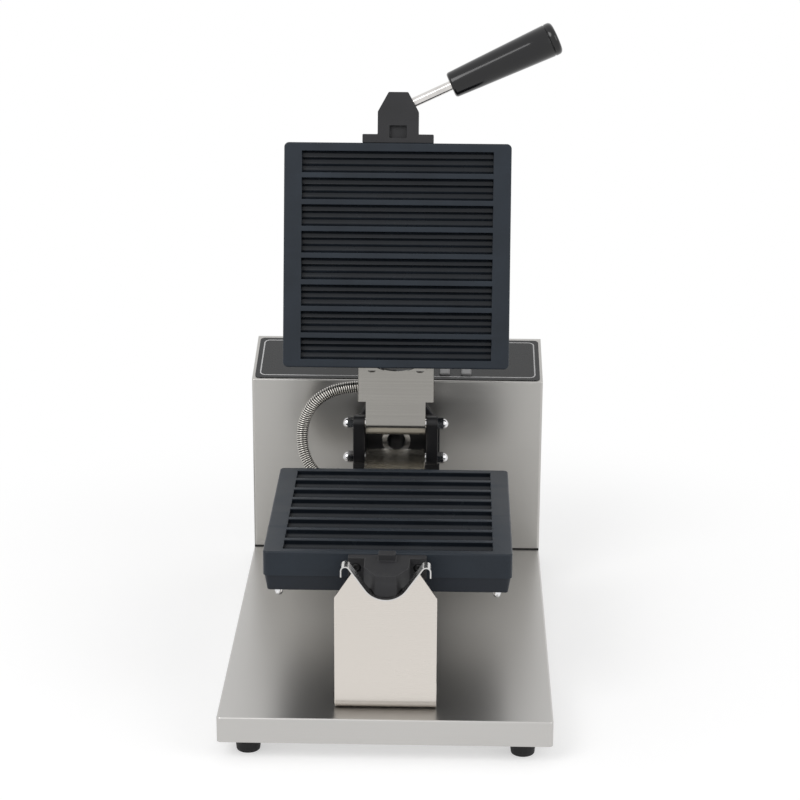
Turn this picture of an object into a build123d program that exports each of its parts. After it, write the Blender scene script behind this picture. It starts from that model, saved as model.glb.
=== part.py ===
from build123d import *
from math import atan2, cos, pi, radians, sin, tan
import os

# Flip machine for baking churros. Two fluted mould plates hinge at the back on a
# rotor that turns in a bearing in the control box. A V stand at the front
# carries the noses of the moulds. It is drawn open, the upper mould standing up.
# X is to the right, Y to the back, Z up. The origin is on the table, under the
# middle of the base. Lengths are in millimetres and angles in degrees.

# Base tray and feet
base_width = 310.0
skirt_height = 25.0
tray_sheet = 1.5
tray_corner = 4.0
bottom_sheet = 1.2
foot_height = 19.0
foot_edge = 1.5
foot_radius = 13.0
foot_tip_radius = 11.0
foot_inset = 27.0
foot_screw_radius = 2.5
foot_screw_depth = 5.0
foot_screw_end = 4.0

# Front stand and its saddle
stand_setback = 20.0
stand_sheet = 2.5
stand_width = 94.0
stand_shoulder = 112.0
stand_peak_half = 29.5
stand_peak_rise = 4.5
stand_flange = 55.0
stand_screw_setback = 38.5
stand_bend = 10.0
notch_angle = 35.0
notch_radius = 24.0
saddle_sheet = 1.2
saddle_width = 14.0
saddle_overhang = 1.5
ear_radius = 4.0
ear_gap = 0.3
ear_drop = 6.0
stand_screw_span = 60.0
stand_screw_radius = 2.5
stand_screw_grip = 8.0

# Rotor axis and moulds
axis_above_tray = 134.0
parting_gap = 0.3
mould_width = 233.0
mould_length = 231.0
plate_thickness = 24.0
mould_corner = 5.0
cover_height = 16.0
cover_inset = 1.0
cover_wall = 1.5
cover_draft = 10.0
cover_screw_inset = 14.0
cover_screw_radius = 2.0
cover_screw_grip = 8.0
groove_count = 8
groove_pitch = 27.4
groove_length = 196.0
groove_width = 21.6
flute_radius = 4.6
flute_spread = 6.2
flute_side_depth = 3.6
flute_centre_depth = 6.8

# Heaters and sensors under the covers
heater_radius = 4.0
heater_span = 120.0
heater_end_gap = 22.0
heater_bend = 20.0
seat_gap = 0.2
sensor_radius = 3.0
sensor_length = 40.0

# Noses at the front of the moulds
lug_length = 52.0
lug_flange_width = 73.0
lug_flange_depth = 9.0
lug_neck_width = 42.0
lug_neck_depth = 23.0
lug_tip_width = 20.0
lug_tip_gap = 4.5
lug_near = 1.5
lug_running_gap = 0.3
peg_width = 16.0
peg_depth = 11.0
peg_height = 5.0
peg_setback = 6.0
peg_gap = 0.6
lug_screw_span = 58.0
lug_screw_grip = 12.0
lug_screw_radius = 2.5
lug_screw_sink = 3.0

# Handle
rod_radius = 5.0
rod_height = 15.0
handle_angle = 25.0
rod_socket = 12.0
rod_free = 42.0
grip_length = 119.0
grip_near_radius = 13.5
grip_far_radius = 17.5
grip_bore_depth = 60.0
grip_edge = 3.0
grip_end_edge = 4.5

# Hinges at the back of the moulds
hinge_back = 59.0
upper_pin_height = 29.0
lower_pin_depth = 8.5
open_angle = 104.0
pin_radius = 5.0
pin_running_gap = 0.05
upper_barrel_radius = 12.0
lower_barrel_radius = 8.5
leaf_sheet = 2.5
leaf_half_width = 31.0
leaf_wide_half = 39.5
leaf_wide_length = 36.0
leaf_lip = 3.0
leaf_flange_depth = 7.5
leaf_bend = 3.5
leaf_arc_half = 19.5
leaf_arc_depth = 4.0
leaf_screw_span = 50.0
leaf_screw_grip = 8.0
leaf_screw_radius = 2.0
arm_thickness = 12.0
arm_gap = 1.0
arm_radius = 8.0
arm_fall = 12.0
nut_radius = 6.5
nut_length = 6.0

# Hub, shaft and bearings
arm_reach = 28.0
hub_thickness = 8.0
hub_margin = 2.0
hub_drop = 42.0
hub_corner = 8.0
boss_radius = 22.0
boss_length = 10.0
boss_gap = 4.0
shaft_radius = 15.0
shaft_bore = 10.0
collar_radius = 17.5
bearing_outer = 21.0
bearing_width = 12.0
bearing_setback = 2.0
bearing_spacing = 44.0
housing_flange = 44.0
housing_flange_depth = 8.0
housing_radius = 27.0
housing_lip = 18.0
housing_edge = 1.5
housing_end = 2.0
housing_screw_circle = 70.0
housing_screw_radius = 2.5
housing_screw_grip = 14.0
shaft_nut_radius = 19.0
shaft_nut_length = 9.0
running_gap = 0.3
cut_margin = 1.0

# Screw heads: radius and height
small_head = (4.0, 2.4)
large_head = (4.6, 2.6)
cap_head = (4.2, 8.0)

# Control box and its panel
box_front_height = 191.0
panel_run = 90.0
panel_rise = 20.0
box_rim = 4.0
box_sheet = 1.5
box_corner = 2.5
cover_frame = 12.0
rear_cover_gap = 0.2
rear_screw_rise = 2.0
vent_count = 6
vent_width = 46.0
vent_height = 3.0
vent_pitch = 9.0
overlay_sheet = 0.8
overlay_inset = 3.0
overlay_corner = 5.0
key_width = 11.0
key_depth = 12.5
key_pitch = 23.0
key_centre_x = 62.0
key_up_slope = 17.5
key_proud = 2.0
key_gap = 0.25
key_stem = 5.0
key_stem_length = 8.0
key_travel = 0.5
key_clear = 0.1
key_corner = 1.5
key_edge = 0.6
panel_cut = 4.0
window_width = 84.0
window_depth = 30.0
window_up_slope = 58.0
window_sheet = 1.4
window_ledge = 4.0
display_margin = 5.0
board_width = 200.0
board_depth = 70.0
board_sheet = 1.6
board_drop = 14.0
board_up_slope = 45.0
standoff_radius = 3.0
standoff_inset = 6.0
switch_width = 6.0
gland_radius = 8.0
gland_bore = 4.5
gland_hex = 12.0
gland_nut = 10.0
gland_inset = 45.0
gland_height = 35.0
gland_inside = 10.0
gland_outside = 14.0
gland_hex_length = 6.0
gland_dome_length = 12.0
gland_lock_length = 5.0
gland_edge = 1.5
relay_side = 55.0
relay_setback = 30.0
relay_width = 40.0
relay_depth = 32.0
relay_height = 34.0
terminal_side = 25.0
terminal_setback = 34.0
terminal_width = 60.0
terminal_depth = 20.0
terminal_height = 18.0
terminal_count = 5
terminal_hole = 3.0
terminal_hole_depth = 10.0

# Armoured hose between the two covers
hose_radius = 6.3
hose_bore = 4.4
ferrule_radius = 8.5
ferrule_length = 11.4
spigot_radius = 5.5
spigot_length = 13.6
port_depth = 32.0
port_gap = 0.6
lower_port_x = -58.0
feed_port_x = 25.0
elbow_half = 8.0
elbow_corner = 2.0
elbow_length = 30.0
elbow_half_height = 6.5
conduit_radius = 6.5

# Places that follow from the sizes above
box_depth = panel_run + box_rim
lug_tip_back = stand_setback + lug_tip_gap
mould_setback = lug_tip_back + lug_length
hinge_setback = mould_setback + mould_length + hinge_back
hub_stack = arm_reach + hub_thickness + boss_length + boss_gap + housing_flange_depth
base_depth = hinge_setback + hub_stack + box_depth
front_y = -base_depth / 2
back_y = base_depth / 2
tray_top = foot_height + skirt_height
gland_side = base_width / 2 - gland_inset
axis_z = tray_top + axis_above_tray
lug_tip_y = front_y + lug_tip_back
mould_front = front_y + mould_setback
mould_back = mould_front + mould_length
mould_middle = (mould_front + mould_back) / 2
hinge_y = mould_back + hinge_back
upper_pin_z = axis_z + upper_pin_height
lower_pin_z = axis_z - lower_pin_depth
hub_front = hinge_y + arm_reach
boss_front = hub_front + hub_thickness
arm_top_back = upper_pin_z + arm_radius - arm_fall
boss_back = boss_front + boss_length
housing_front = boss_back + boss_gap
box_front = housing_front + housing_flange_depth
front_bearing_y = housing_front + bearing_setback
rear_bearing_y = front_bearing_y + bearing_spacing
arm_inner = leaf_half_width + arm_gap
arm_outer = arm_inner + arm_thickness
cover_face = parting_gap + plate_thickness + cover_height
plate_back_face = parting_gap + plate_thickness
lug_seat_radius = notch_radius - saddle_sheet - lug_running_gap
saddle_back = front_y + stand_setback - saddle_overhang + saddle_width


def block(x0, x1, y0, y1, z0, z1):
    """Box between two corners."""
    size = (abs(x1 - x0), abs(y1 - y0), abs(z1 - z0))
    return Pos((x0 + x1) / 2, (y0 + y1) / 2, (z0 + z1) / 2) * Box(*size)


def rod_x(radius, x0, x1, y, z):
    """Round bar along X."""
    return Pos((x0 + x1) / 2, y, z) * Rot(0, 90, 0) * Cylinder(radius, abs(x1 - x0))


def rod_y(radius, y0, y1, x, z):
    """Round bar along Y."""
    return Pos(x, (y0 + y1) / 2, z) * Rot(90, 0, 0) * Cylinder(radius, abs(y1 - y0))


def rod_z(radius, z0, z1, x, y):
    """Round bar along Z."""
    return Pos(x, y, (z0 + z1) / 2) * Cylinder(radius, abs(z1 - z0))


def screw(at, outward, shank_radius, grip, head_radius, head_height):
    """Screw with a rounded head that sits on the face at the given point."""
    head = Pos(0, 0, head_height / 2) * Cylinder(head_radius, head_height)
    head = fillet(head.edges().group_by(Axis.Z)[-1], min(head_height * 0.6, head_radius * 0.4))
    shank = Pos(0, 0, -grip / 2) * Cylinder(shank_radius, grip)
    return Plane(origin=at, z_dir=outward).location * (head + shank)


def screw_hole(at, outward, shank_radius, grip):
    """Hole for the shank of a screw at the same place."""
    shank = Pos(0, 0, -grip / 2) * Cylinder(shank_radius, grip)
    return Plane(origin=at, z_dir=outward).location * shank


def open_pose(piece):
    """Turn a piece of the upper mould from its closed place to where it stands open."""
    return piece.rotate(Axis((0, hinge_y, upper_pin_z), (1, 0, 0)), -open_angle)


def layer(side, near, far):
    """Heights between two distances from the parting plane, above (1) or below (-1)."""
    return axis_z + side * near, axis_z + side * far


# Base
foot_places = [
    (x, y)
    for x in (-base_width / 2 + foot_inset, base_width / 2 - foot_inset)
    for y in (front_y + foot_inset, back_y - foot_inset)
]
stand_screw_y = front_y + stand_setback + stand_screw_setback
stand_screw_places = [
    (x, stand_screw_y, tray_top + stand_sheet) for x in (-stand_screw_span / 2, stand_screw_span / 2)
]


def make_base_tray():
    """Upside-down pan of sheet steel."""
    pan = block(-base_width / 2, base_width / 2, front_y, back_y, foot_height, tray_top)
    pan = fillet(pan.edges().filter_by(Axis.Z), tray_corner)
    inside = block(
        -base_width / 2 + tray_sheet, base_width / 2 - tray_sheet,
        front_y + tray_sheet, back_y - tray_sheet, foot_height - 1, tray_top - tray_sheet,
    )
    inside = fillet(inside.edges().filter_by(Axis.Z), tray_corner - tray_sheet)
    holes = [screw_hole(at, (0, 0, 1), stand_screw_radius, stand_screw_grip) for at in stand_screw_places]
    return pan - inside - holes


def make_bottom_plate():
    """Plate that closes the pan from below and carries the feet."""
    inset = tray_sheet + seat_gap
    plate = block(
        -base_width / 2 + inset, base_width / 2 - inset,
        front_y + inset, back_y - inset, foot_height, foot_height + bottom_sheet,
    )
    plate = fillet(plate.edges().filter_by(Axis.Z), tray_corner - tray_sheet)
    return plate - [rod_z(foot_screw_radius, 0, tray_top, x, y) for x, y in foot_places]


def make_feet():
    """Four tapered rubber feet with a recess for the screw."""
    feet = []
    for x, y in foot_places:
        foot = Pos(x, y, foot_height / 2) * Cone(foot_tip_radius, foot_radius, foot_height)
        foot = fillet(foot.edges().group_by(Axis.Z)[0], foot_edge)
        foot -= rod_z(foot_screw_radius, 0, foot_height, x, y)
        foot -= rod_z(foot_screw_radius * 2, 0, foot_screw_depth, x, y)
        feet.append(foot)
    return Compound(children=feet)


def make_feet_screws():
    """Four screws, up through the feet into the bottom plate."""
    grip = foot_height + bottom_sheet + foot_screw_end - foot_screw_depth
    head = foot_screw_depth * 0.6
    return Compound(children=[
        screw((x, y, foot_screw_depth), (0, 0, -1), foot_screw_radius, grip, foot_screw_radius * 1.8, head)
        for x, y in foot_places
    ])


# Stand
def stand_outline():
    """Front view of the stand: shoulders, two peaks and the V notch between them."""
    half = stand_width / 2
    shoulder = tray_top + stand_shoulder
    peak = axis_z + stand_peak_rise
    lean = radians(notch_angle)
    notch_top = (notch_radius + (peak + 1 - axis_z) * sin(lean)) / cos(lean)
    touch_x = notch_radius * cos(lean)
    touch_z = axis_z - notch_radius * sin(lean)
    sheet = make_face(Polyline(
        (-half, tray_top), (half, tray_top), (half, shoulder), (stand_peak_half, peak),
        (-stand_peak_half, peak), (-half, shoulder), close=True,
    ))
    notch = make_face(Polyline(
        (-notch_top, peak + 1), (-touch_x, touch_z), (0, axis_z), (touch_x, touch_z), (notch_top, peak + 1),
        close=True,
    ))
    return sheet - notch - Pos(0, axis_z) * Circle(notch_radius)


def make_cradle_stand():
    """Bent sheet stand that stands on the tray and carries the noses."""
    stand_y = front_y + stand_setback
    top = axis_z + stand_peak_rise
    inner_bend = stand_bend - stand_sheet
    upright = block(-stand_width, stand_width, stand_y, stand_y + stand_sheet, tray_top + stand_bend, top)
    bend = rod_x(stand_bend, -stand_width, stand_width, stand_y + stand_bend, tray_top + stand_bend)
    bend -= rod_x(inner_bend, -stand_width, stand_width, stand_y + stand_bend, tray_top + stand_bend)
    corner = block(
        -stand_width, stand_width, stand_y, stand_y + stand_bend, tray_top, tray_top + stand_bend)
    flange = block(
        -stand_width, stand_width, stand_y + stand_bend, stand_y + stand_flange,
        tray_top, tray_top + stand_sheet)
    sheet = upright + (bend & corner) + flange
    outline = extrude(Plane.XZ.offset(-back_y) * stand_outline(), amount=base_depth)
    holes = [screw_hole(at, (0, 0, 1), stand_screw_radius, stand_screw_grip) for at in stand_screw_places]
    return (sheet & outline) - holes


def make_saddle_strip():
    """Thin strip that lines the notch, with its ends curled outward."""
    lean = radians(notch_angle)
    middle = notch_radius - saddle_sheet / 2
    touch = (middle * cos(lean), axis_z - middle * sin(lean))
    ear_z = axis_z + stand_peak_rise + ear_gap
    end_z = ear_z + ear_radius * sin(lean)
    end_x = (middle + (end_z - axis_z) * sin(lean)) / cos(lean)
    ear_x = end_x + ear_radius * cos(lean)
    low_turn = radians((90 - notch_angle) / 2)
    ear_turn = radians((180 - notch_angle) / 2)
    half_line = [
        ThreePointArc(
            (0, axis_z - middle), (middle * sin(low_turn), axis_z - middle * cos(low_turn)), touch
        ),
        Line(touch, (end_x, end_z)),
        ThreePointArc(
            (end_x, end_z), (ear_x + ear_radius * cos(ear_turn), ear_z + ear_radius * sin(ear_turn)),
            (ear_x + ear_radius, ear_z),
        ),
        Line((ear_x + ear_radius, ear_z), (ear_x + ear_radius, ear_z - ear_drop)),
    ]
    half = trace(half_line, saddle_sheet)
    strip = half + mirror(half, about=Plane.YZ)
    y0 = front_y + stand_setback - saddle_overhang
    return extrude(Plane.XZ.offset(-y0) * strip, amount=-saddle_width)


def make_stand_screws():
    """Two screws that hold the stand down."""
    return Compound(children=[
        screw(at, (0, 0, 1), stand_screw_radius, stand_screw_grip, *large_head) for at in stand_screw_places
    ])


# Control box
panel_slope = atan2(panel_rise, panel_run)
panel_length = (panel_run ** 2 + panel_rise ** 2) ** 0.5
panel_plane = Plane(
    origin=(0, box_front, tray_top + box_front_height),
    x_dir=(1, 0, 0),
    z_dir=(0, -sin(panel_slope), cos(panel_slope)),
)
key_places = [key_centre_x - key_pitch / 2, key_centre_x + key_pitch / 2]
housing_screw_places = [
    (x, housing_front, axis_z + z)
    for x in (-housing_screw_circle / 2 / 2 ** 0.5, housing_screw_circle / 2 / 2 ** 0.5)
    for z in (-housing_screw_circle / 2 / 2 ** 0.5, housing_screw_circle / 2 / 2 ** 0.5)
]
cover_plate_y = back_y - box_sheet - seat_gap
rear_screw_x = base_width / 2 - box_sheet - cover_frame / 2
rear_screw_low = tray_top + cover_frame / 2 + rear_screw_rise
rear_screw_high = tray_top + box_front_height + panel_rise - box_sheet - cover_frame / 2
rear_screw_places = [
    (x, cover_plate_y + box_sheet, z)
    for x in (-rear_screw_x, 0, rear_screw_x)
    for z in (rear_screw_low, rear_screw_high)
]
gland_z = tray_top + gland_height


def on_panel(piece):
    """Place a piece drawn flat, with Y up the slope, on the sloping panel."""
    return panel_plane.location * piece


def panel_block(x, up, width, depth, low, high):
    """Box on the panel, centred across and up the slope, between two heights."""
    return on_panel(Pos(x, up, (low + high) / 2) * Box(width, depth, high - low))


def box_section(wall, front, back, floor):
    """Side view of the box, moved in by the wall thickness at the front and the top."""
    top_drop = wall / cos(panel_slope) - wall * tan(panel_slope)
    front_top = tray_top + box_front_height - top_drop
    back_top = tray_top + box_front_height + panel_rise - wall
    bend_y = box_front + panel_run
    return make_face(Polyline(
        (front, floor), (front, front_top), (bend_y, back_top), (back, back_top), (back, floor), close=True,
    ))


def make_control_box():
    """Folded sheet box, open below and behind, with the sloping panel on top."""
    half = base_width / 2
    outer = extrude(Plane.YZ * box_section(0, box_front, back_y, tray_top), amount=half, both=True)
    corners = outer.edges().filter_by(Axis.Z).group_by(Axis.Y)[0]
    outer = fillet(corners, box_corner)
    inner = extrude(
        Plane.YZ * box_section(box_sheet, box_front + box_sheet, back_y + 1, tray_top - 1),
        amount=half - box_sheet, both=True,
    )
    shell = outer - inner
    frame_y = cover_plate_y - box_sheet
    top = tray_top + box_front_height + panel_rise - box_sheet
    wide = half - box_sheet
    frame = block(-wide, wide, frame_y, cover_plate_y, tray_top, top)
    frame -= block(
        -wide + cover_frame, wide - cover_frame, frame_y - 1, back_y,
        tray_top + cover_frame, top - cover_frame)
    shell += frame
    cuts = [rod_y(housing_radius, box_front - 1, box_front + box_sheet + 1, 0, axis_z)]
    cuts += [
        screw_hole(at, (0, -1, 0), housing_screw_radius, housing_screw_grip)
        for at in housing_screw_places
    ]
    cuts += [screw_hole(at, (0, 1, 0), cover_screw_radius, cover_screw_grip) for at in rear_screw_places]
    cuts += [
        panel_block(
            x, key_up_slope, key_width + 2 * key_gap, key_depth + 2 * key_gap, -panel_cut, panel_cut
        )
        for x in key_places
    ]
    ledge = 2 * window_ledge
    cuts += [
        panel_block(0, window_up_slope, window_width - ledge, window_depth - ledge, -panel_cut, panel_cut)
    ]
    return shell - cuts


def make_rear_cover():
    """Flat back plate with vent slots and the hole for the cable gland."""
    half = base_width / 2 - box_sheet - rear_cover_gap
    top = tray_top + box_front_height + panel_rise - box_sheet - rear_cover_gap
    plate = block(-half, half, cover_plate_y, cover_plate_y + box_sheet, tray_top + rear_cover_gap, top)
    cuts = [
        block(-vent_width / 2 + x, vent_width / 2 + x, front_y, back_y + 1, z, z + vent_height)
        for x in (-vent_width, vent_width)
        for z in (axis_z + vent_pitch * i for i in range(-vent_count // 2, vent_count // 2))
    ]
    cuts += [rod_y(gland_radius, cover_plate_y - 1, back_y + 1, gland_side, gland_z)]
    cuts += [screw_hole(at, (0, 1, 0), cover_screw_radius, cover_screw_grip) for at in rear_screw_places]
    return plate - cuts


def make_rear_cover_screws():
    """Six screws round the back plate."""
    return Compound(children=[
        screw(at, (0, 1, 0), cover_screw_radius, cover_screw_grip, *small_head) for at in rear_screw_places
    ])


def make_cable_gland():
    """Gland for the supply lead, with its nut outside and its lock nut inside."""
    face = cover_plate_y + box_sheet
    lock_start = cover_plate_y - gland_lock_length
    dome_start = face + gland_hex_length
    dome_end = dome_start + gland_dome_length
    outline = Pos(gland_side, gland_z) * RegularPolygon(gland_hex, 6)
    body = rod_y(gland_radius, cover_plate_y - gland_inside, face + gland_outside, gland_side, gland_z)
    hexagon = extrude(Plane.XZ.offset(-face) * outline, amount=-gland_hex_length)
    dome = fillet(rod_y(gland_nut, dome_start, dome_end, gland_side, gland_z).edges(), gland_edge)
    lock = extrude(Plane.XZ.offset(-lock_start) * outline, amount=-gland_lock_length)
    bore = rod_y(gland_bore, lock_start - gland_inside, dome_end + cut_margin, gland_side, gland_z)
    return body + hexagon + dome + lock - bore


def make_panel_overlay():
    """Membrane over the slope, cut out for the keys and the window."""
    middle = panel_length / 2
    sheet = extrude(
        RectangleRounded(base_width - 2 * overlay_inset, panel_length - 2 * overlay_inset, overlay_corner),
        amount=overlay_sheet)
    sheet = on_panel(Pos(0, middle, 0) * sheet)
    cuts = [
        panel_block(
            x, key_up_slope, key_width + 2 * key_gap, key_depth + 2 * key_gap, -panel_cut, panel_cut
        )
        for x in key_places
    ]
    cuts += [panel_block(0, window_up_slope, window_width, window_depth, -panel_cut, panel_cut)]
    return sheet - cuts


def make_display_window():
    """Clear window of the display, seated on the sheet in its cut-out."""
    gap = 2 * seat_gap
    return panel_block(0, window_up_slope, window_width - gap, window_depth - gap, 0, window_sheet)


def make_key(x):
    """Key cap with the stem that reaches the switch below."""
    stem_top = key_proud - key_edge
    cap = Pos(0, 0, (key_proud + overlay_sheet - box_sheet) / 2) * Box(
        key_width, key_depth, key_proud + overlay_sheet + box_sheet)
    cap = fillet(cap.edges().filter_by(Axis.Z), key_corner)
    cap = fillet(cap.edges().group_by(Axis.Z)[-1], key_edge)
    stem = Pos(0, 0, (stem_top - key_stem_length) / 2) * Box(key_stem, key_stem, stem_top + key_stem_length)
    return on_panel(Pos(x, key_up_slope, 0) * (cap + stem))


def make_controller_board():
    """Circuit board under the panel, with its display module."""
    return panel_block(0, board_up_slope, board_width, board_depth, -board_drop - board_sheet, -board_drop)


def make_display_module():
    """Display behind the window, on the board."""
    margin = 2 * display_margin
    return panel_block(
        0, window_up_slope, window_width - margin, window_depth - margin, -board_drop, -seat_gap)


def make_board_standoffs():
    """Four posts between the sheet and the board."""
    x = board_width / 2 - standoff_inset
    ups = (
        board_up_slope - board_depth / 2 + standoff_inset, board_up_slope + board_depth / 2 - standoff_inset
    )
    length = board_drop - box_sheet
    post = Pos(0, 0, -box_sheet - length / 2) * Cylinder(standoff_radius, length)
    return Compound(children=[on_panel(Pos(sx, up, 0) * post) for sx in (-x, x) for up in ups])


def make_key_switches():
    """Push switches on the board under the two keys."""
    top = -key_stem_length - key_travel - key_clear
    return Compound(children=[
        panel_block(x, key_up_slope, switch_width, switch_width, -board_drop, top) for x in key_places
    ])


def make_power_relay():
    """Relay that switches the heaters, on the tray."""
    x0 = -base_width / 2 + relay_side
    y0 = box_front + relay_setback
    return block(x0, x0 + relay_width, y0, y0 + relay_depth, tray_top, tray_top + relay_height)


def make_terminal_block():
    """Terminal block for the supply lead, on the tray near the gland."""
    x0 = base_width / 2 - terminal_side - terminal_width
    y0 = box_front + terminal_setback
    top = tray_top + terminal_height
    pitch = terminal_width / terminal_count
    body = block(x0, x0 + terminal_width, y0, y0 + terminal_depth, tray_top, top)
    return body - [
        rod_z(
            terminal_hole, top - terminal_hole_depth, top + cut_margin,
            x0 + pitch * (i + 0.5), y0 + terminal_depth / 2,
        )
        for i in range(terminal_count)
    ]


# Bearings, shaft and hub
def make_bearing_housing():
    """Flanged tube, bolted to the front of the box, that holds both bearings."""
    end = rear_bearing_y + bearing_width + housing_end
    body = rod_y(housing_flange, housing_front, box_front, 0, axis_z)
    body = fillet(body.edges().group_by(Axis.Y)[0], housing_edge)
    body += rod_y(housing_radius, box_front, end, 0, axis_z)
    cuts = [
        rod_y(housing_lip, housing_front - 1, end + 1, 0, axis_z),
        rod_y(bearing_outer, housing_front - 1, front_bearing_y + bearing_width, 0, axis_z),
        rod_y(bearing_outer, rear_bearing_y, end + 1, 0, axis_z),
    ]
    cuts += [
        screw_hole(at, (0, -1, 0), housing_screw_radius, housing_screw_grip)
        for at in housing_screw_places
    ]
    return body - cuts


def make_bearing(y):
    """Bearing ring with the running clearance round the shaft."""
    ring = rod_y(bearing_outer, y, y + bearing_width, 0, axis_z)
    return ring - rod_y(shaft_radius + pin_running_gap, y - 1, y + bearing_width + 1, 0, axis_z)


def make_housing_screws():
    """Four screws through the housing flange."""
    return Compound(children=[
        screw(at, (0, -1, 0), housing_screw_radius, housing_screw_grip, *large_head)
        for at in housing_screw_places
    ])


def make_rotor_shaft():
    """Hollow shaft with the collar that runs against the front bearing."""
    end = rear_bearing_y + bearing_width + running_gap + shaft_nut_length
    shaft = rod_y(shaft_radius, hub_front, end, 0, axis_z)
    shaft += rod_y(collar_radius, boss_back, front_bearing_y - running_gap, 0, axis_z)
    return shaft - rod_y(shaft_bore, front_y, back_y, 0, axis_z)


def make_shaft_nut():
    """Round nut that keeps the shaft in its bearings."""
    start = rear_bearing_y + bearing_width + running_gap
    nut = rod_y(shaft_nut_radius, start, start + shaft_nut_length, 0, axis_z)
    return nut - rod_y(shaft_radius, front_y, back_y, 0, axis_z)


def make_hub_plate():
    """Plate that carries both yoke arms, with a boss round the shaft."""
    half = arm_outer + hub_margin
    plate = block(
        -half, half, hub_front, boss_front, axis_z - hub_drop, arm_top_back + hub_margin)
    plate = fillet(plate.edges().filter_by(Axis.Y), hub_corner)
    plate += rod_y(boss_radius, boss_front, boss_back, 0, axis_z)
    cuts = [
        rod_y(shaft_radius, front_y, back_y, 0, axis_z),
        rod_y(hose_bore, front_y, back_y, feed_port_x, axis_z - port_depth - 1),
    ]
    return plate - cuts


def make_yoke_arm(side):
    """Cheek of the yoke, rounded about both hinge bolts."""
    profile = Pos(hinge_y, upper_pin_z) * Circle(arm_radius)
    profile += Pos(hinge_y, lower_pin_z) * Circle(arm_radius)
    profile += make_face(Polyline(
        (hinge_y - arm_radius, lower_pin_z), (hinge_y - arm_radius, upper_pin_z), (hinge_y, upper_pin_z),
        (hinge_y, upper_pin_z + arm_radius), (hub_front, arm_top_back),
        (hub_front, lower_pin_z - arm_radius), (hinge_y, lower_pin_z - arm_radius), (hinge_y, lower_pin_z),
        close=True,
    ))
    low = arm_inner if side > 0 else -arm_outer
    arm = Pos(low, 0, 0) * extrude(Plane.YZ * profile, amount=arm_thickness)
    pins = [rod_x(pin_radius, -base_width, base_width, hinge_y, z) for z in (upper_pin_z, lower_pin_z)]
    return arm - pins


def make_hinge_bolt(z):
    """Hinge bolt across the yoke, with its head on the left."""
    bolt = rod_x(pin_radius, -arm_outer, arm_outer + nut_length, hinge_y, z)
    head = Plane(origin=(-arm_outer, hinge_y, z), z_dir=(-1, 0, 0)).location * dome_nut()
    return bolt + head


def dome_nut():
    """Hexagon with a dome on it, standing on its seat."""
    hexagon = extrude(RegularPolygon(nut_radius, 6), amount=nut_length)
    dome = Pos(0, 0, nut_length) * Sphere(nut_radius * 0.8)
    return hexagon + (
        dome & Pos(0, 0, nut_length + nut_radius / 2) * Box(4 * nut_radius, 4 * nut_radius, nut_radius)
    )


def make_hinge_nut(z):
    """Dome nut on the right end of a hinge bolt."""
    nut = Plane(origin=(arm_outer, hinge_y, z), z_dir=(1, 0, 0)).location * dome_nut()
    return nut - rod_x(pin_radius, 0, arm_outer + nut_length, hinge_y, z)


# Moulds
def groove_section(side):
    """Fluted section of one groove: a core and three round flutes."""
    core = Pos(0, side * (flute_side_depth - 1) / 2) * Rectangle(groove_width, flute_side_depth + 1)
    centre = Pos(0, side * flute_centre_depth) * Circle(flute_radius)
    flutes = [Pos(x, side * flute_side_depth) * Circle(flute_radius) for x in (-flute_spread, flute_spread)]
    return core + centre + flutes


groove_span = (groove_count - 1) * groove_pitch
groove_places = [mould_middle - groove_span / 2 + groove_pitch * i for i in range(groove_count)]
cover_screw_x = mould_width / 2 - cover_screw_inset
cover_screw_y = mould_length / 2 - cover_screw_inset


def cover_screws(side):
    """Places of the screws on the outer face of a cover."""
    z = axis_z + side * cover_face
    return [
        (x, mould_middle + y, z)
        for x in (-cover_screw_x, cover_screw_x)
        for y in (-cover_screw_y, cover_screw_y)
    ]


def lug_screws(side):
    """Places of the screws, seated below the front of a nose flange."""
    z = axis_z + side * (lug_near + lug_seat_radius) / 2
    seat_y = mould_front - lug_flange_depth + lug_screw_sink
    return [(x, seat_y, z) for x in (-lug_screw_span / 2, lug_screw_span / 2)]


def leaf_screws(side):
    """Places of the screws on the tab of a leaf."""
    near, far = leaf_layer(side)
    z = axis_z + side * (near + far) / 2
    return [(x, mould_back + leaf_sheet, z) for x in (-leaf_screw_span / 2, leaf_screw_span / 2)]


def leaf_layer(side):
    """Distances from the parting plane between which a leaf tab lies."""
    if side > 0:
        return leaf_lip, upper_pin_height - upper_barrel_radius + leaf_sheet
    return lower_pin_depth - lower_barrel_radius, lower_pin_depth + lower_barrel_radius - leaf_lip


def make_mould_plate(side):
    """Cast mould plate with its fluted grooves across."""
    z0, z1 = layer(side, parting_gap, plate_back_face)
    plate = block(-mould_width / 2, mould_width / 2, mould_front, mould_back, z0, z1)
    plate = fillet(plate.edges().filter_by(Axis.Z), mould_corner)
    section = groove_section(side)
    cuts = [
        extrude(Plane.YZ * Pos(y, axis_z) * section, amount=groove_length / 2, both=True)
        for y in groove_places
    ]
    grip = cover_height + cover_screw_grip
    cuts += [screw_hole(at, (0, 0, side), cover_screw_radius, grip) for at in cover_screws(side)]
    lug_grip = lug_flange_depth - lug_screw_sink + lug_screw_grip
    cuts += [screw_hole(at, (0, -1, 0), lug_screw_radius, lug_grip) for at in lug_screws(side)]
    cuts += [
        screw_hole(at, (0, 1, 0), leaf_screw_radius, leaf_sheet + leaf_screw_grip)
        for at in leaf_screws(side)
    ]
    return plate - cuts


def cover_form(side, inset, height):
    """Tapered block that the cover is made from."""
    base = Plane(
        origin=(0, mould_middle, axis_z + side * plate_back_face), x_dir=(1, 0, 0), z_dir=(0, 0, side)
    )
    outline = RectangleRounded(mould_width - 2 * inset, mould_length - 2 * inset, mould_corner)
    return extrude(base * outline, amount=height, taper=cover_draft)


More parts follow.
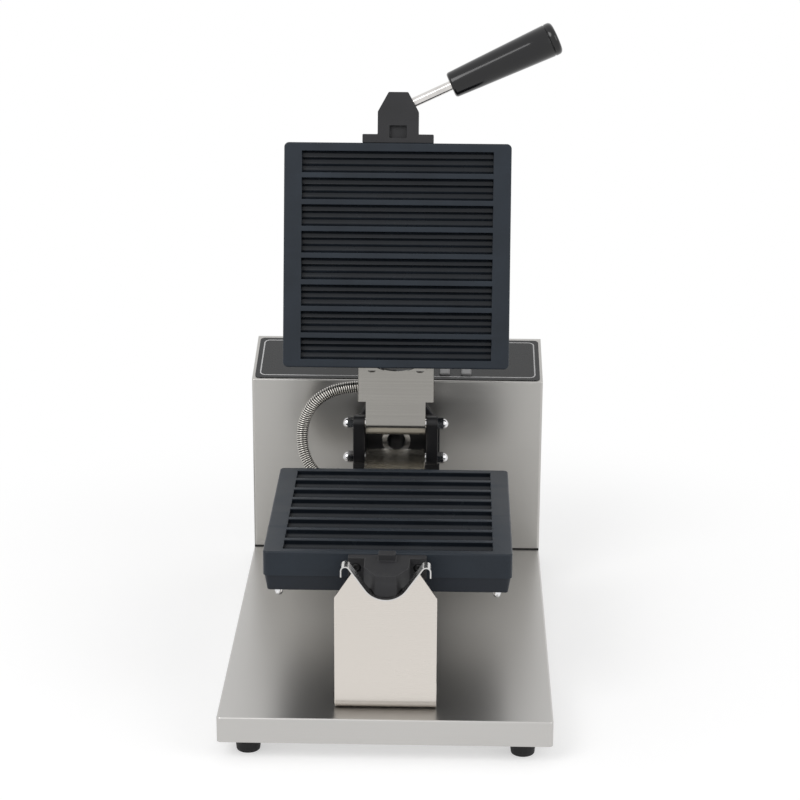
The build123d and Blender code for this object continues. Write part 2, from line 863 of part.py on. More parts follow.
def make_cover(side):
    """Sheet cover over the heater, with bosses for its screws."""
    cover = cover_form(side, cover_inset, cover_height)
    cover -= cover_form(side, cover_inset + cover_wall, cover_height - cover_wall)
    near, far = layer(side, plate_back_face, cover_face - cover_wall)
    cover += [rod_z(cover_screw_radius * 2, near, far, x, y) for x, y, _ in cover_screws(side)]
    grip = cover_height + cover_screw_grip
    cuts = [screw_hole(at, (0, 0, side), cover_screw_radius, grip) for at in cover_screws(side)]
    port_z = axis_z + side * port_depth
    port_places = [-elbow_half] if side > 0 else [lower_port_x, feed_port_x]
    cuts += [
        rod_y(spigot_radius, mould_back + port_gap - spigot_length, mould_back + port_gap, x, port_z)
        for x in port_places
    ]
    return cover - cuts


def make_heater(side):
    """Tubular heater bent to a U, clamped against the back of the plate."""
    z = axis_z + side * (plate_back_face + seat_gap + heater_radius)
    half = heater_span / 2
    front = mould_front + heater_end_gap
    back = mould_back - heater_end_gap
    path = FilletPolyline(
        (-half, back, z), (-half, front, z), (half, front, z), (half, back, z), radius=heater_bend
    )
    return sweep(Plane(origin=path @ 0, z_dir=path % 0) * Circle(heater_radius), path=path)


def make_sensor(side):
    """Temperature sensor beside the heater."""
    z = axis_z + side * (plate_back_face + seat_gap + sensor_radius)
    return rod_y(sensor_radius, mould_middle - sensor_length / 2, mould_middle + sensor_length / 2, 0, z)


def make_cover_screws(side):
    """Four cap screws of a cover."""
    grip = cover_height + cover_screw_grip
    return Compound(children=[
        screw(at, (0, 0, side), cover_screw_radius, grip, *cap_head) for at in cover_screws(side)
    ])


def make_lug(side):
    """Nose of a mould: flange, neck and a tip turned round about the rotor axis."""
    tip, neck, flange = lug_tip_width / 2, lug_neck_width / 2, lug_flange_width / 2
    neck_front = mould_front - lug_flange_depth - lug_neck_depth
    flange_front = mould_front - lug_flange_depth
    plan = make_face(Polyline(
        (-tip, lug_tip_y), (tip, lug_tip_y), (neck, neck_front), (neck, flange_front), (
            flange, flange_front
        ),
        (flange, mould_front), (-flange, mould_front), (-flange, flange_front), (-neck, flange_front),
        (-neck, neck_front), close=True,
    ))
    near, far = sorted(layer(side, lug_near, lug_seat_radius))
    lug = Pos(0, 0, near) * extrude(plan, amount=far - near)
    seat_end = saddle_back + lug_running_gap * 4
    turned = lug & rod_y(lug_seat_radius, front_y, seat_end, 0, axis_z)
    rest = lug & block(-flange - 1, flange + 1, seat_end, mould_front, near, far)
    lug = turned + rest
    peg_back = mould_front - peg_setback
    if side > 0:
        room = peg_gap
        pocket = block(
            -peg_width / 2 - room, peg_width / 2 + room, peg_back - peg_depth - room, peg_back + room,
            axis_z, axis_z + peg_height + 2)
        lug -= pocket
        lug -= handle_bar(rod_radius, -rod_socket, 1)
    else:
        lug += block(
            -peg_width / 2, peg_width / 2, peg_back - peg_depth, peg_back,
            axis_z - lug_near, axis_z + peg_height)
    holes = [screw_hole(at, (0, -1, 0), lug_screw_radius, lug_flange_depth) for at in lug_screws(side)]
    head_room = large_head[0] + running_gap
    holes += [rod_y(head_room, flange_front - cut_margin, y, x, z) for x, y, z in lug_screws(side)]
    return lug - holes


def make_lug_screws(side):
    """Two screws through the flange of a nose."""
    grip = lug_flange_depth - lug_screw_sink + lug_screw_grip
    return Compound(children=[
        screw(at, (0, -1, 0), lug_screw_radius, grip, *large_head) for at in lug_screws(side)
    ])


# Handle, drawn on the closed mould, out of the middle of the right facet of the nose
facet_back = mould_front - lug_flange_depth - lug_neck_depth
handle_plane = Plane(
    origin=((lug_neck_width + lug_tip_width) / 4, (facet_back + lug_tip_y) / 2, axis_z + rod_height),
    x_dir=(0, 0, 1),
    z_dir=(cos(radians(handle_angle)), -sin(radians(handle_angle)), 0),
)


def handle_bar(radius, start, end):
    """Round bar along the axis of the handle."""
    return handle_plane.location * (Pos(0, 0, (start + end) / 2) * Cylinder(radius, end - start))


def make_handle_rod():
    """Steel rod from the nose into the grip."""
    return handle_bar(rod_radius, -rod_socket, rod_free + grip_bore_depth)


def make_handle_grip():
    """Tapered moulded grip on the rod."""
    grip = Pos(0, 0, grip_length / 2) * Cone(grip_near_radius, grip_far_radius, grip_length)
    grip = fillet(grip.edges().group_by(Axis.Z)[0], grip_edge)
    grip = fillet(grip.edges().group_by(Axis.Z)[-1], grip_end_edge)
    grip = handle_plane.location * (Pos(0, 0, rod_free) * grip)
    return grip - handle_bar(rod_radius, rod_free - 1, rod_free + grip_bore_depth)


# Leaves and bushes
def make_upper_leaf():
    """Channel leaf of the upper mould, rolled round its bolt."""
    near, far = leaf_layer(1)
    low, high = axis_z + near, axis_z + far
    wide_back = mould_back + leaf_wide_length
    ring_low = high - leaf_sheet
    plate = block(-leaf_half_width, leaf_half_width, mould_back, hinge_y, ring_low, high)
    tab = block(-leaf_half_width, leaf_half_width, mould_back, mould_back + leaf_sheet, low, high)
    channel = block(
        -leaf_wide_half, leaf_wide_half, mould_back, wide_back, ring_low, ring_low + leaf_flange_depth)
    channel = fillet(channel.edges().filter_by(Axis.Y).group_by(Axis.Z)[0], leaf_bend)
    inner_half = leaf_wide_half - leaf_sheet
    room = block(
        -inner_half, inner_half, mould_back - cut_margin, wide_back + cut_margin,
        high, high + leaf_flange_depth)
    channel -= fillet(room.edges().filter_by(Axis.Y).group_by(Axis.Z)[0], leaf_bend - leaf_sheet)
    ring = rod_x(upper_barrel_radius, -leaf_half_width, leaf_half_width, hinge_y, upper_pin_z)
    ring_bore = upper_barrel_radius - leaf_sheet
    leaf = plate + tab + channel + ring
    arc_radius = (leaf_arc_half ** 2 + leaf_arc_depth ** 2) / (2 * leaf_arc_depth)
    cuts = [
        rod_x(ring_bore, -leaf_half_width - 1, leaf_half_width + 1, hinge_y, upper_pin_z),
        rod_z(arc_radius, low - cut_margin, high + cut_margin, 0, mould_back + leaf_arc_depth - arc_radius),
    ]
    cuts += [screw_hole(at, (0, 1, 0), leaf_screw_radius, leaf_sheet) for at in leaf_screws(1)]
    return leaf - cuts


def make_lower_leaf():
    """Flat leaf of the lower mould, rolled round its bolt."""
    near, far = leaf_layer(-1)
    high, low = axis_z - near, axis_z - far
    plate = block(-leaf_half_width, leaf_half_width, mould_back, hinge_y, high - leaf_sheet, high)
    tab = block(-leaf_half_width, leaf_half_width, mould_back, mould_back + leaf_sheet, low, high)
    ring = rod_x(lower_barrel_radius, -leaf_half_width, leaf_half_width, hinge_y, lower_pin_z)
    ring_bore = lower_barrel_radius - leaf_sheet
    cuts = [rod_x(ring_bore, -leaf_half_width - 1, leaf_half_width + 1, hinge_y, lower_pin_z)]
    cuts += [screw_hole(at, (0, 1, 0), leaf_screw_radius, leaf_sheet) for at in leaf_screws(-1)]
    return plate + tab + ring - cuts


def make_bush(barrel, z):
    """Bronze bush inside a barrel, running on its bolt."""
    bush = rod_x(barrel - leaf_sheet, -leaf_half_width, leaf_half_width, hinge_y, z)
    return bush - rod_x(pin_radius + pin_running_gap, -leaf_half_width - 1, leaf_half_width + 1, hinge_y, z)


def make_leaf_screws(side):
    """Two screws through the tab of a leaf."""
    grip = leaf_sheet + leaf_screw_grip
    return Compound(children=[
        screw(at, (0, 1, 0), leaf_screw_radius, grip, *small_head) for at in leaf_screws(side)
    ])


# Hose between the covers, and the conduit into the hub
elbow_y = mould_back + port_gap + elbow_length - ferrule_radius - 1
elbow_end_x = -2 * elbow_half - ferrule_length


def make_elbow():
    """Elbow on the back of the upper cover, with the ferrule of the hose."""
    z = axis_z + port_depth
    start = mould_back + port_gap
    body = block(
        -2 * elbow_half, 0, start, start + elbow_length, z - elbow_half_height, z + elbow_half_height)
    body = fillet(body.edges().filter_by(Axis.Z), elbow_corner)
    body += rod_y(spigot_radius, start - spigot_length, start, -elbow_half, z)
    body += rod_x(ferrule_radius, elbow_end_x, -2 * elbow_half, elbow_y, z)
    return body - rod_x(hose_bore, elbow_end_x, -elbow_half, elbow_y, z)


def make_lower_ferrule():
    """Ferrule of the hose on the back of the lower cover."""
    z = axis_z - port_depth
    start = mould_back + port_gap
    body = rod_y(ferrule_radius, start, start + ferrule_length, lower_port_x, z)
    body += rod_y(spigot_radius, start - spigot_length, start, lower_port_x, z)
    return body - rod_y(hose_bore, front_y, back_y, lower_port_x, z)


def make_feed_conduit():
    """Straight conduit that takes the wires from the lower cover to the hub."""
    z = axis_z - port_depth - 1
    start = mould_back + port_gap
    tube = rod_y(conduit_radius, start, hub_front, feed_port_x, z)
    tube += rod_y(spigot_radius - 1, start - spigot_length, start, feed_port_x, z)
    return tube - rod_y(hose_bore - 1, front_y, back_y, feed_port_x, z)


def hose_route():
    """Points of the hose, from the elbow round the left side to the lower cover."""
    turn = radians(-open_angle)
    arm_y = elbow_y - hinge_y
    arm_z = port_depth - upper_pin_height
    start_y = hinge_y + arm_y * cos(turn) - arm_z * sin(turn)
    start_z = upper_pin_z + arm_y * sin(turn) + arm_z * cos(turn)
    end_y = mould_back + port_gap + ferrule_length
    end_z = axis_z - port_depth
    return [
        (elbow_end_x, start_y, start_z),
        (elbow_end_x - 27, start_y, start_z),
        (-84, start_y - 2, axis_z + 52),
        (-99, hinge_y + 12, axis_z + 24),
        (-98, hinge_y + 4, axis_z - 6),
        (-84, hinge_y - 6, axis_z - 28),
        (lower_port_x, hinge_y - 20, end_z),
        (lower_port_x, end_y, end_z),
    ]


def corner_radii(points):
    """Radius for each corner of a route, as large as its two runs allow."""
    vectors = [Vector(*b) - Vector(*a) for a, b in zip(points, points[1:])]
    radii = []
    for first, second in zip(vectors, vectors[1:]):
        turn = radians(first.get_angle(second))
        radii.append(0.45 * min(first.length, second.length) / tan(turn / 2))
    return radii


def make_armoured_hose():
    """Metal hose with its bore, on one smooth path."""
    points = hose_route()
    radii = corner_radii(points)
    path = FilletPolyline(*points, radius=radii)
    square = Plane(origin=path @ 0, z_dir=path % 0)
    hose = sweep(square * (Circle(hose_radius) - Circle(hose_bore)), path=path)
    print("hose length", round(path.length, 1), "radii", [round(r, 1) for r in radii])
    print("hose volume", round(hose.volume), "section by length",
          round(pi * (hose_radius ** 2 - hose_bore ** 2) * path.length))
    return hose


parts = {
    "base_tray": make_base_tray(),
    "bottom_plate": make_bottom_plate(),
    "feet": make_feet(),
    "feet_screws": make_feet_screws(),
    "cradle_stand": make_cradle_stand(),
    "saddle_strip": make_saddle_strip(),
    "stand_screws": make_stand_screws(),
    "control_box": make_control_box(),
    "rear_cover": make_rear_cover(),
    "rear_cover_screws": make_rear_cover_screws(),
    "cable_gland": make_cable_gland(),
    "panel_overlay": make_panel_overlay(),
    "display_window": make_display_window(),
    "display_module": make_display_module(),
    "controller_board": make_controller_board(),
    "board_standoffs": make_board_standoffs(),
    "key_switches": make_key_switches(),
    "key_left": make_key(key_places[0]),
    "key_right": make_key(key_places[1]),
    "power_relay": make_power_relay(),
    "terminal_block": make_terminal_block(),
    "bearing_housing": make_bearing_housing(),
    "front_bearing": make_bearing(front_bearing_y),
    "rear_bearing": make_bearing(rear_bearing_y),
    "housing_screws": make_housing_screws(),
    "rotor_shaft": make_rotor_shaft(),
    "shaft_nut": make_shaft_nut(),
    "hub_plate": make_hub_plate(),
    "yoke_arm_left": make_yoke_arm(-1),
    "yoke_arm_right": make_yoke_arm(1),
    "upper_hinge_bolt": make_hinge_bolt(upper_pin_z),
    "lower_hinge_bolt": make_hinge_bolt(lower_pin_z),
    "upper_hinge_nut": make_hinge_nut(upper_pin_z),
    "lower_hinge_nut": make_hinge_nut(lower_pin_z),
    "lower_leaf": make_lower_leaf(),
    "lower_bush": make_bush(lower_barrel_radius, lower_pin_z),
    "lower_leaf_screws": make_leaf_screws(-1),
    "lower_mould_plate": make_mould_plate(-1),
    "lower_heater": make_heater(-1),
    "lower_sensor": make_sensor(-1),
    "lower_cover": make_cover(-1),
    "lower_cover_screws": make_cover_screws(-1),
    "lower_lug": make_lug(-1),
    "lower_lug_screws": make_lug_screws(-1),
    "lower_ferrule": make_lower_ferrule(),
    "feed_conduit": make_feed_conduit(),
    "upper_leaf": open_pose(make_upper_leaf()),
    "upper_bush": open_pose(make_bush(upper_barrel_radius, upper_pin_z)),
    "upper_leaf_screws": open_pose(make_leaf_screws(1)),
    "upper_mould_plate": open_pose(make_mould_plate(1)),
    "upper_heater": open_pose(make_heater(1)),
    "upper_sensor": open_pose(make_sensor(1)),
    "upper_cover": open_pose(make_cover(1)),
    "upper_cover_screws": open_pose(make_cover_screws(1)),
    "upper_lug": open_pose(make_lug(1)),
    "upper_lug_screws": open_pose(make_lug_screws(1)),
    "handle_rod": open_pose(make_handle_rod()),
    "handle_grip": open_pose(make_handle_grip()),
    "hose_elbow": open_pose(make_elbow()),
    "armoured_hose": make_armoured_hose(),
}

os.makedirs("parts", exist_ok=True)
for name, piece in parts.items():
    export_step(piece, f"parts/{name}.step")
print(len(parts), "parts")
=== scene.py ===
"""Finished look of a flip machine for baking churros: surfaces, fine shapes, camera and studio."""

import logging
import math
from dataclasses import dataclass
from enum import Enum
from typing import Any, Callable, Dict, Optional, Sequence, Tuple, Union

import bmesh
import bpy
from mathutils import Matrix, Vector


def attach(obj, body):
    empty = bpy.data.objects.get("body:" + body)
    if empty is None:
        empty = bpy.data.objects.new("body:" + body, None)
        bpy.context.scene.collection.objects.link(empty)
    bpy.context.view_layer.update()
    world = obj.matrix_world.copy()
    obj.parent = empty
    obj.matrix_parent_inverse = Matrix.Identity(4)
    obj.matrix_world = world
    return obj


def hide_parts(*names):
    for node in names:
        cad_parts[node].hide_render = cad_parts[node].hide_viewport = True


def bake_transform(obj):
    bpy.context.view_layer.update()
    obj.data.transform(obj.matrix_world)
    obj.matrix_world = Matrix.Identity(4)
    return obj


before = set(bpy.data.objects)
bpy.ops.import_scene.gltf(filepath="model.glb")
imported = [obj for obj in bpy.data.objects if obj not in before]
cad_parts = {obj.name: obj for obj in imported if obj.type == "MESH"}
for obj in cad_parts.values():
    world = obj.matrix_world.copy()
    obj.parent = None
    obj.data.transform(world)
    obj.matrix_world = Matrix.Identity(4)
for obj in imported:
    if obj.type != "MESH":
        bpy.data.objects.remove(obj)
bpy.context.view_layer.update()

log = logging.getLogger("churro_maker")

Colour = Tuple[float, float, float]
Point = Tuple[float, float, float]
EdgeTest = Callable[[bmesh.types.BMEdge], bool]
Seat = Tuple[Vector, float, float, float, float]

MM = 0.001


class Body(Enum):
    """Moving bodies of the machine."""

    BASE = "base"
    ROTOR = "rotor"
    UPPER = "upper_mould"
    KEY_LEFT = "key_left"
    KEY_RIGHT = "key_right"


class Side(Enum):
    """Upper or lower mould, with its sign along the closing direction."""

    UPPER = 1
    LOWER = -1

    @property
    def word(self) -> str:
        """Name of the side as the nodes use it."""
        return "upper" if self is Side.UPPER else "lower"

    @property
    def body(self) -> Body:
        """Body that the mould of this side moves with."""
        return Body.UPPER if self is Side.UPPER else Body.ROTOR


@dataclass(frozen=True)
class Places:
    """Main places of the machine, in metres."""

    back: float = 259.25 * MM
    half_width: float = 155.0 * MM
    tray_top: float = 44.0 * MM
    axis_z: float = 178.0 * MM
    mould_front: float = -182.75 * MM
    mould_back: float = 48.25 * MM
    hinge_y: float = 107.25 * MM
    upper_pin_z: float = 207.0 * MM
    lower_pin_z: float = 169.5 * MM
    open_angle: float = math.radians(104.0)
    box_front: float = 165.25 * MM
    box_front_top: float = 235.0 * MM
    panel_run: float = 90.0 * MM
    panel_rise: float = 20.0 * MM

    @property
    def mould_middle(self) -> float:
        """Middle of a mould from front to back."""
        return (self.mould_front + self.mould_back) / 2

    @property
    def opened(self) -> Matrix:
        """Turn that takes a closed upper mould to where it stands open."""
        pin = Vector((0.0, self.hinge_y, self.upper_pin_z))
        turn = Matrix.Rotation(-self.open_angle, 4, "X")
        return Matrix.Translation(pin) @ turn @ Matrix.Translation(-pin)

    @property
    def panel(self) -> Matrix:
        """Frame of the sloping panel: X across, Y up the slope, Z out of it."""
        slope = math.atan2(self.panel_rise, self.panel_run)
        origin = Matrix.Translation((0.0, self.box_front, self.box_front_top))
        return origin @ Matrix.Rotation(slope, 4, "X")

    @property
    def panel_length(self) -> float:
        """Length of the slope."""
        return math.hypot(self.panel_run, self.panel_rise)


PLACES = Places()


class Value:
    """Number socket that takes part in expressions."""

    def __init__(self, graph: "Graph", socket: bpy.types.NodeSocket) -> None:
        """Keep the socket and the graph that it belongs to."""
        self.graph = graph
        self.socket = socket

    def _join(self, operation: str, first: "Number", second: "Number") -> "Value":
        """Add a Math node.

        Args:
            operation: the node's operation.
            first: its first value.
            second: its second value.

        Returns:
            The node's result.
        """
        made = self.graph.node("ShaderNodeMath", {"operation": operation}, {0: first, 1: second})
        return Value(self.graph, made.outputs[0])

    def __add__(self, other: "Number") -> "Value":
        """Sum."""
        return self._join("ADD", self, other)

    def __radd__(self, other: "Number") -> "Value":
        """Sum with a number on the left."""
        return self._join("ADD", other, self)

    def __sub__(self, other: "Number") -> "Value":
        """Difference."""
        return self._join("SUBTRACT", self, other)

    def __rsub__(self, other: "Number") -> "Value":
        """Difference from a number on the left."""
        return self._join("SUBTRACT", other, self)

    def __mul__(self, other: "Number") -> "Value":
        """Product."""
        return self._join("MULTIPLY", self, other)

    def __rmul__(self, other: "Number") -> "Value":
        """Product with a number on the left."""
        return self._join("MULTIPLY", other, self)

    def magnitude(self) -> "Value":
        """Absolute value."""
        return self._join("ABSOLUTE", self, 0.0)

    def at_most(self, limit: "Number") -> "Value":
        """Lesser of this value and a limit."""
        return self._join("MINIMUM", self, limit)

    def step(self, low: float, high: float) -> "Value":
        """Smooth rise from 0 to 1 between two values."""
        made = self.graph.node(
            "ShaderNodeMapRange",
            {"interpolation_type": "SMOOTHSTEP"},
            {"Value": self, "From Min": low, "From Max": high},
        )
        return Value(self.graph, made.outputs[0])


Number = Union[float, Value]


class Graph:
    """Node tree of a material or of the world, filled by calls."""

    def __init__(self, tree: bpy.types.NodeTree) -> None:
        """Start from an empty tree."""
        self.tree = tree
        self.tree.nodes.clear()

    def node(
        self,
        kind: str,
        settings: Optional[Dict[str, Any]] = None,
        inputs: Optional[Dict[Union[str, int], Any]] = None,
    ) -> bpy.types.Node:
        """Add a node.

        Args:
            kind: the node's type.
            settings: its own settings, set before its sockets.
            inputs: a value or a link for each socket.

        Returns:
            The node.
        """
        made = self.tree.nodes.new(kind)
        for key, value in (settings or {}).items():
            setattr(made, key, value)
        for key, value in (inputs or {}).items():
            socket = made.inputs[key]
            if isinstance(value, Value):
                self.tree.links.new(value.socket, socket)
            elif isinstance(value, bpy.types.NodeSocket):
                self.tree.links.new(value, socket)
            else:
                socket.default_value = value
        return made

    def place(self, scale: Point = (1.0, 1.0, 1.0), turn: Point = (0.0, 0.0, 0.0)) -> bpy.types.NodeSocket:
        """Object coordinates, stretched and turned.

        Args:
            scale: factor along each axis.
            turn: rotation in radians.

        Returns:
            The vector socket.
        """
        source = self.node("ShaderNodeTexCoord").outputs["Object"]
        mapped = self.node("ShaderNodeMapping", None, {"Vector": source, "Rotation": turn, "Scale": scale})
        return mapped.outputs[0]

    def noise(self, vector: bpy.types.NodeSocket, scale: float, detail: float = 2.0) -> Value:
        """Soft noise.

        Args:
            vector: where it is read.
            scale: waves to the metre.
            detail: finer layers on top.

        Returns:
            A value about one half.
        """
        made = self.node("ShaderNodeTexNoise", None, {"Vector": vector, "Scale": scale, "Detail": detail})
        return Value(self, made.outputs[0])

    def level(self) -> Value:
        """1 on faces that lie flat and 0 on faces that stand."""
        normal = self.node("ShaderNodeTexCoord").outputs["Normal"]
        parts = self.node("ShaderNodeSeparateXYZ", None, {"Vector": normal})
        return Value(self, parts.outputs[2]).magnitude().step(0.5, 0.85)

    def blend(self, factor: Number, first: Colour, second: Colour) -> bpy.types.NodeSocket:
        """Colour between two colours.

        Args:
            factor: 0 for the first, 1 for the second.
            first: linear colour.
            second: linear colour.

        Returns:
            The colour socket.
        """
        inputs = {0: factor, 6: (*first, 1.0), 7: (*second, 1.0)}
        made = self.node("ShaderNodeMix", {"data_type": "RGBA"}, inputs)
        return made.outputs[2]

    def bump(self, height: Value, depth: float, strength: float = 1.0) -> bpy.types.NodeSocket:
        """Normal from a height.

        Args:
            height: the relief, 0 to 1.
            depth: real depth of the relief in metres.
            strength: how much of it shows.

        Returns:
            The normal socket.
        """
        made = self.node("ShaderNodeBump", None, {"Height": height, "Distance": depth, "Strength": strength})
        return made.outputs[0]

    def surface(self, sockets: Dict[str, Any]) -> None:
        """Principled surface with the given sockets, to the output."""
        shader = self.node("ShaderNodeBsdfPrincipled", None, sockets)
        self.node("ShaderNodeOutputMaterial", None, {"Surface": shader.outputs[0]})


def scaled(colour: Colour, factor: float) -> Colour:
    """Lighter or darker colour."""
    return (colour[0] * factor, colour[1] * factor, colour[2] * factor)


def around(graph: Graph, tone: Value, colour: Colour, darker: float, lighter: float) -> bpy.types.NodeSocket:
    """Colour that wanders between a darker and a lighter form of one colour.

    Args:
        graph: where the nodes go.
        tone: 0 for the darker form, 1 for the lighter.
        colour: linear colour.
        darker: factor of the darker form.
        lighter: factor of the lighter form.

    Returns:
        The colour socket.
    """
    return graph.blend(tone, scaled(colour, darker), scaled(colour, lighter))


@dataclass(frozen=True)
class Finish:
    """Numbers that every finish has."""

    name: str
    slot: str
    colour: Colour
    roughness: float

    def material(self) -> bpy.types.Material:
        """Material of this finish, made once.

        Returns:
            The material.
        """
        known = bpy.data.materials.get(self.name)
        if known is not None:
            return known
        made = bpy.data.materials.new(self.name)
        made.use_nodes = True
        self.paint(Graph(made.node_tree))
        return made

    def paint(self, graph: Graph) -> None:
        """Fill the node tree; each kind of finish has its own way."""
        raise NotImplementedError


@dataclass(frozen=True)
class BrushedSheet(Finish):
    """Stainless sheet with fine brush lines, soft clouding and faint scuffs."""

    along: float = 5.0
    line_scale: float = 2600.0
    streak: float = 0.07
    cloud: float = 0.05

    def paint(self, graph: Graph) -> None:
        """Brush lines across the sheet, on lying and on standing faces."""
        lying = graph.noise(graph.place((self.along, self.line_scale, self.along)), 1.0, 3.0)
        standing = graph.noise(graph.place((self.along, self.along, self.line_scale)), 1.0, 3.0)
        flat = graph.level()
        lines = lying * flat + standing * (1.0 - flat)
        clouds = graph.noise(graph.place(), 7.0, 2.0)
        scuffs = graph.noise(graph.place((30.0, 110.0, 110.0)), 1.0, 4.0).step(0.62, 0.80)
        tone = (lines - 0.5) * self.streak * 3.0 + (clouds - 0.5) * self.cloud * 3.0 + 0.5
        rough = (lines - 0.5) * 0.10 + (clouds - 0.5) * 0.08 + scuffs * 0.04 + self.roughness
        graph.surface({
            "Base Color": around(graph, tone, self.colour, 0.86, 1.14),
            "Metallic": 1.0,
            "Roughness": rough,
            "Normal": graph.bump(lines, 0.00001, 0.35),
        })


@dataclass(frozen=True)
class CastCoat(Finish):
    """Dark coat on a casting: faint orange peel, rubbed patches and a little bloom."""

    peel_scale: float = 620.0
    peel_depth: float = 0.00004
    rub: float = 0.35
    sheen: float = 0.28

    def paint(self, graph: Graph) -> None:
        """Mottled coat that is rubbed lighter in long patches."""
        peel = graph.noise(graph.place(), self.peel_scale, 3.0)
        clouds = graph.noise(graph.place(), 26.0, 3.0)
        rubbed = graph.noise(graph.place((14.0, 70.0, 70.0)), 1.0, 5.0).step(0.55, 0.78)
        tone = (clouds - 0.5) * 1.1 + (peel - 0.5) * 0.5 + rubbed * self.rub + 0.35
        graph.surface({
            "Base Color": around(graph, tone, self.colour, 0.80, 1.35),
            "Metallic": 0.0,
            "Roughness": (clouds - 0.5) * 0.18 + rubbed * 0.08 + self.roughness,
            "Specular IOR Level": self.sheen,
            "Normal": graph.bump(peel, self.peel_depth, 0.6),
        })


@dataclass(frozen=True)
class Moulding(Finish):
    """Moulded plastic, rubber or lacquer with flow marks and a fine texture."""

    texture_scale: float = 900.0
    texture_depth: float = 0.00002
    gloss_coat: float = 0.0
    spread: float = 0.18
    sheen: float = 0.3

    def paint(self, graph: Graph) -> None:
        """Even colour with flow marks, dulled where hands and dust have been."""
        texture = graph.noise(graph.place(), self.texture_scale, 2.0)
        flow = graph.noise(graph.place((60.0, 60.0, 20.0)), 1.0, 3.0)
        dull = graph.noise(graph.place(), 18.0, 4.0).step(0.50, 0.75)
        tone = (flow - 0.5) * 1.2 + (texture - 0.5) * 0.6 + 0.5
        graph.surface({
            "Base Color": around(graph, tone, self.colour, 1.0 - self.spread, 1.0 + self.spread),
            "Roughness": (flow - 0.5) * 0.08 + dull * 0.07 + self.roughness,
            "Specular IOR Level": self.sheen,
            "Coat Weight": self.gloss_coat,
            "Coat Roughness": 0.08,
            "Normal": graph.bump(texture, self.texture_depth, 0.5),
        })


@dataclass(frozen=True)
class TurnedMetal(Finish):
    """Plated, ground or turned metal with tool marks and slight staining."""

    mark_scale: float = 1500.0
    stain: float = 0.12

    def paint(self, graph: Graph) -> None:
        """Close tool marks with broad faint stains."""
        marks = graph.noise(graph.place((1.0, 1.0, 0.3)), self.mark_scale, 2.0)
        stains = graph.noise(graph.place(), 90.0, 4.0)
        tone = (stains - 0.5) * 1.4 + (marks - 0.5) * 0.5 + 0.5
        graph.surface({
            "Base Color": around(graph, tone, self.colour, 1.0 - self.stain, 1.0 + self.stain),
            "Metallic": 1.0,
            "Roughness": (marks - 0.5) * 0.12 + (stains - 0.5) * 0.10 + self.roughness,
            "Normal": graph.bump(marks, 0.00001, 0.4),
        })


@dataclass(frozen=True)
class CircuitBoard(Finish):
    """Lacquered board with copper tracks showing through."""

    def paint(self, graph: Graph) -> None:
        """Track pattern under a glossy mask."""
        tracks = graph.noise(graph.place((160.0, 420.0, 160.0)), 1.0, 0.0).step(0.49, 0.53)
        weave = graph.noise(graph.place(), 800.0, 1.0)
        graph.surface({
            "Base Color": around(graph, tracks, self.colour, 0.75, 1.7),
            "Roughness": (weave - 0.5) * 0.1 + self.roughness,
            "Normal": graph.bump(tracks, 0.00003, 0.6),
        })


TRAY_STEEL = BrushedSheet("tray_steel", "stainless", (0.52, 0.51, 0.495), 0.33)
BOX_STEEL = BrushedSheet("box_steel", "stainless", (0.48, 0.47, 0.45), 0.32)
STAND_STEEL = BrushedSheet("stand_steel", "stainless", (0.66, 0.62, 0.575), 0.26, streak=0.03, cloud=0.04)
# Upper leaf: the same stainless as the other sheets, with a much darker colour that is painted shade; its
# streaks and clouds are the grain's random tone.
LEAF_STEEL = BrushedSheet(
    "leaf_steel", "stainless", (0.30, 0.29, 0.27), 0.22, line_scale=900.0, streak=0.26, cloud=0.25,
)
LOWER_LEAF_STEEL = BrushedSheet("lower_leaf_steel", "stainless", (0.70, 0.66, 0.58), 0.26, streak=0.08)
SADDLE_STEEL = TurnedMetal("saddle_steel", "stainless", (0.62, 0.61, 0.60), 0.22)
MOULD_COAT = CastCoat("mould_coat", "coated_mould", (0.0155, 0.0215, 0.030), 0.42)
# Groove faces: the darker colour is painted shade in the grooves; the lower roughness and finer peel are the
# coat's own finish there.
GROOVE_SHADE_COAT = CastCoat(
    "groove_coat_shaded", "coated_mould", (0.0075, 0.010, 0.014), 0.25, peel_depth=0.00003, rub=0.15,
)
COVER_COAT = CastCoat("cover_coat", "coated_mould", (0.014, 0.018, 0.025), 0.46, peel_scale=480.0)
NOSE_CASTING = CastCoat(
    "nose_casting", "dark_casting", (0.026, 0.026, 0.028), 0.50, peel_depth=0.00009, rub=0.5,
)
BLACK_STEEL = Moulding("black_steel_paint", "black_steel", (0.007, 0.007, 0.008), 0.36, texture_scale=500.0)
GRIP_BLACK = Moulding("grip_black", "bakelite", (0.004, 0.004, 0.005), 0.16, gloss_coat=0.35)
FOOT_RUBBER = Moulding("foot_rubber", "rubber", (0.018, 0.018, 0.019), 0.60, texture_depth=0.00006)
PANEL_FILM = Moulding(
    "panel_film", "overlay", (0.019, 0.020, 0.021), 0.26, texture_scale=1600.0, spread=0.08,
)
PANEL_LINE = Moulding("panel_line", "overlay", (0.62, 0.62, 0.62), 0.40, spread=0.10)
KEY_GREY = Moulding("key_grey", "key", (0.30, 0.30, 0.30), 0.42, spread=0.10)
KEY_FACE = Moulding("key_face", "key", (0.42, 0.42, 0.42), 0.46, spread=0.10)
WINDOW_SMOKE = Moulding("window_smoke", "window", (0.006, 0.006, 0.008), 0.10, gloss_coat=0.6)
BLACK_PLASTIC = Moulding("black_plastic_part", "black_plastic", (0.014, 0.014, 0.015), 0.42)
SEAM_DARK = Moulding("seam_dark", "black_plastic", (0.008, 0.008, 0.008), 0.70)
BOARD_GREEN = CircuitBoard("board_green", "board", (0.010, 0.060, 0.022), 0.35)
PLATED = TurnedMetal("plated_steel", "bright_fixing", (0.72, 0.72, 0.73), 0.16)
LEAF_SCREW = TurnedMetal("leaf_screw_steel", "bright_fixing", (0.16, 0.155, 0.15), 0.36)
ELBOW_DARK = TurnedMetal("elbow_dark", "bright_fixing", (0.10, 0.10, 0.10), 0.30)
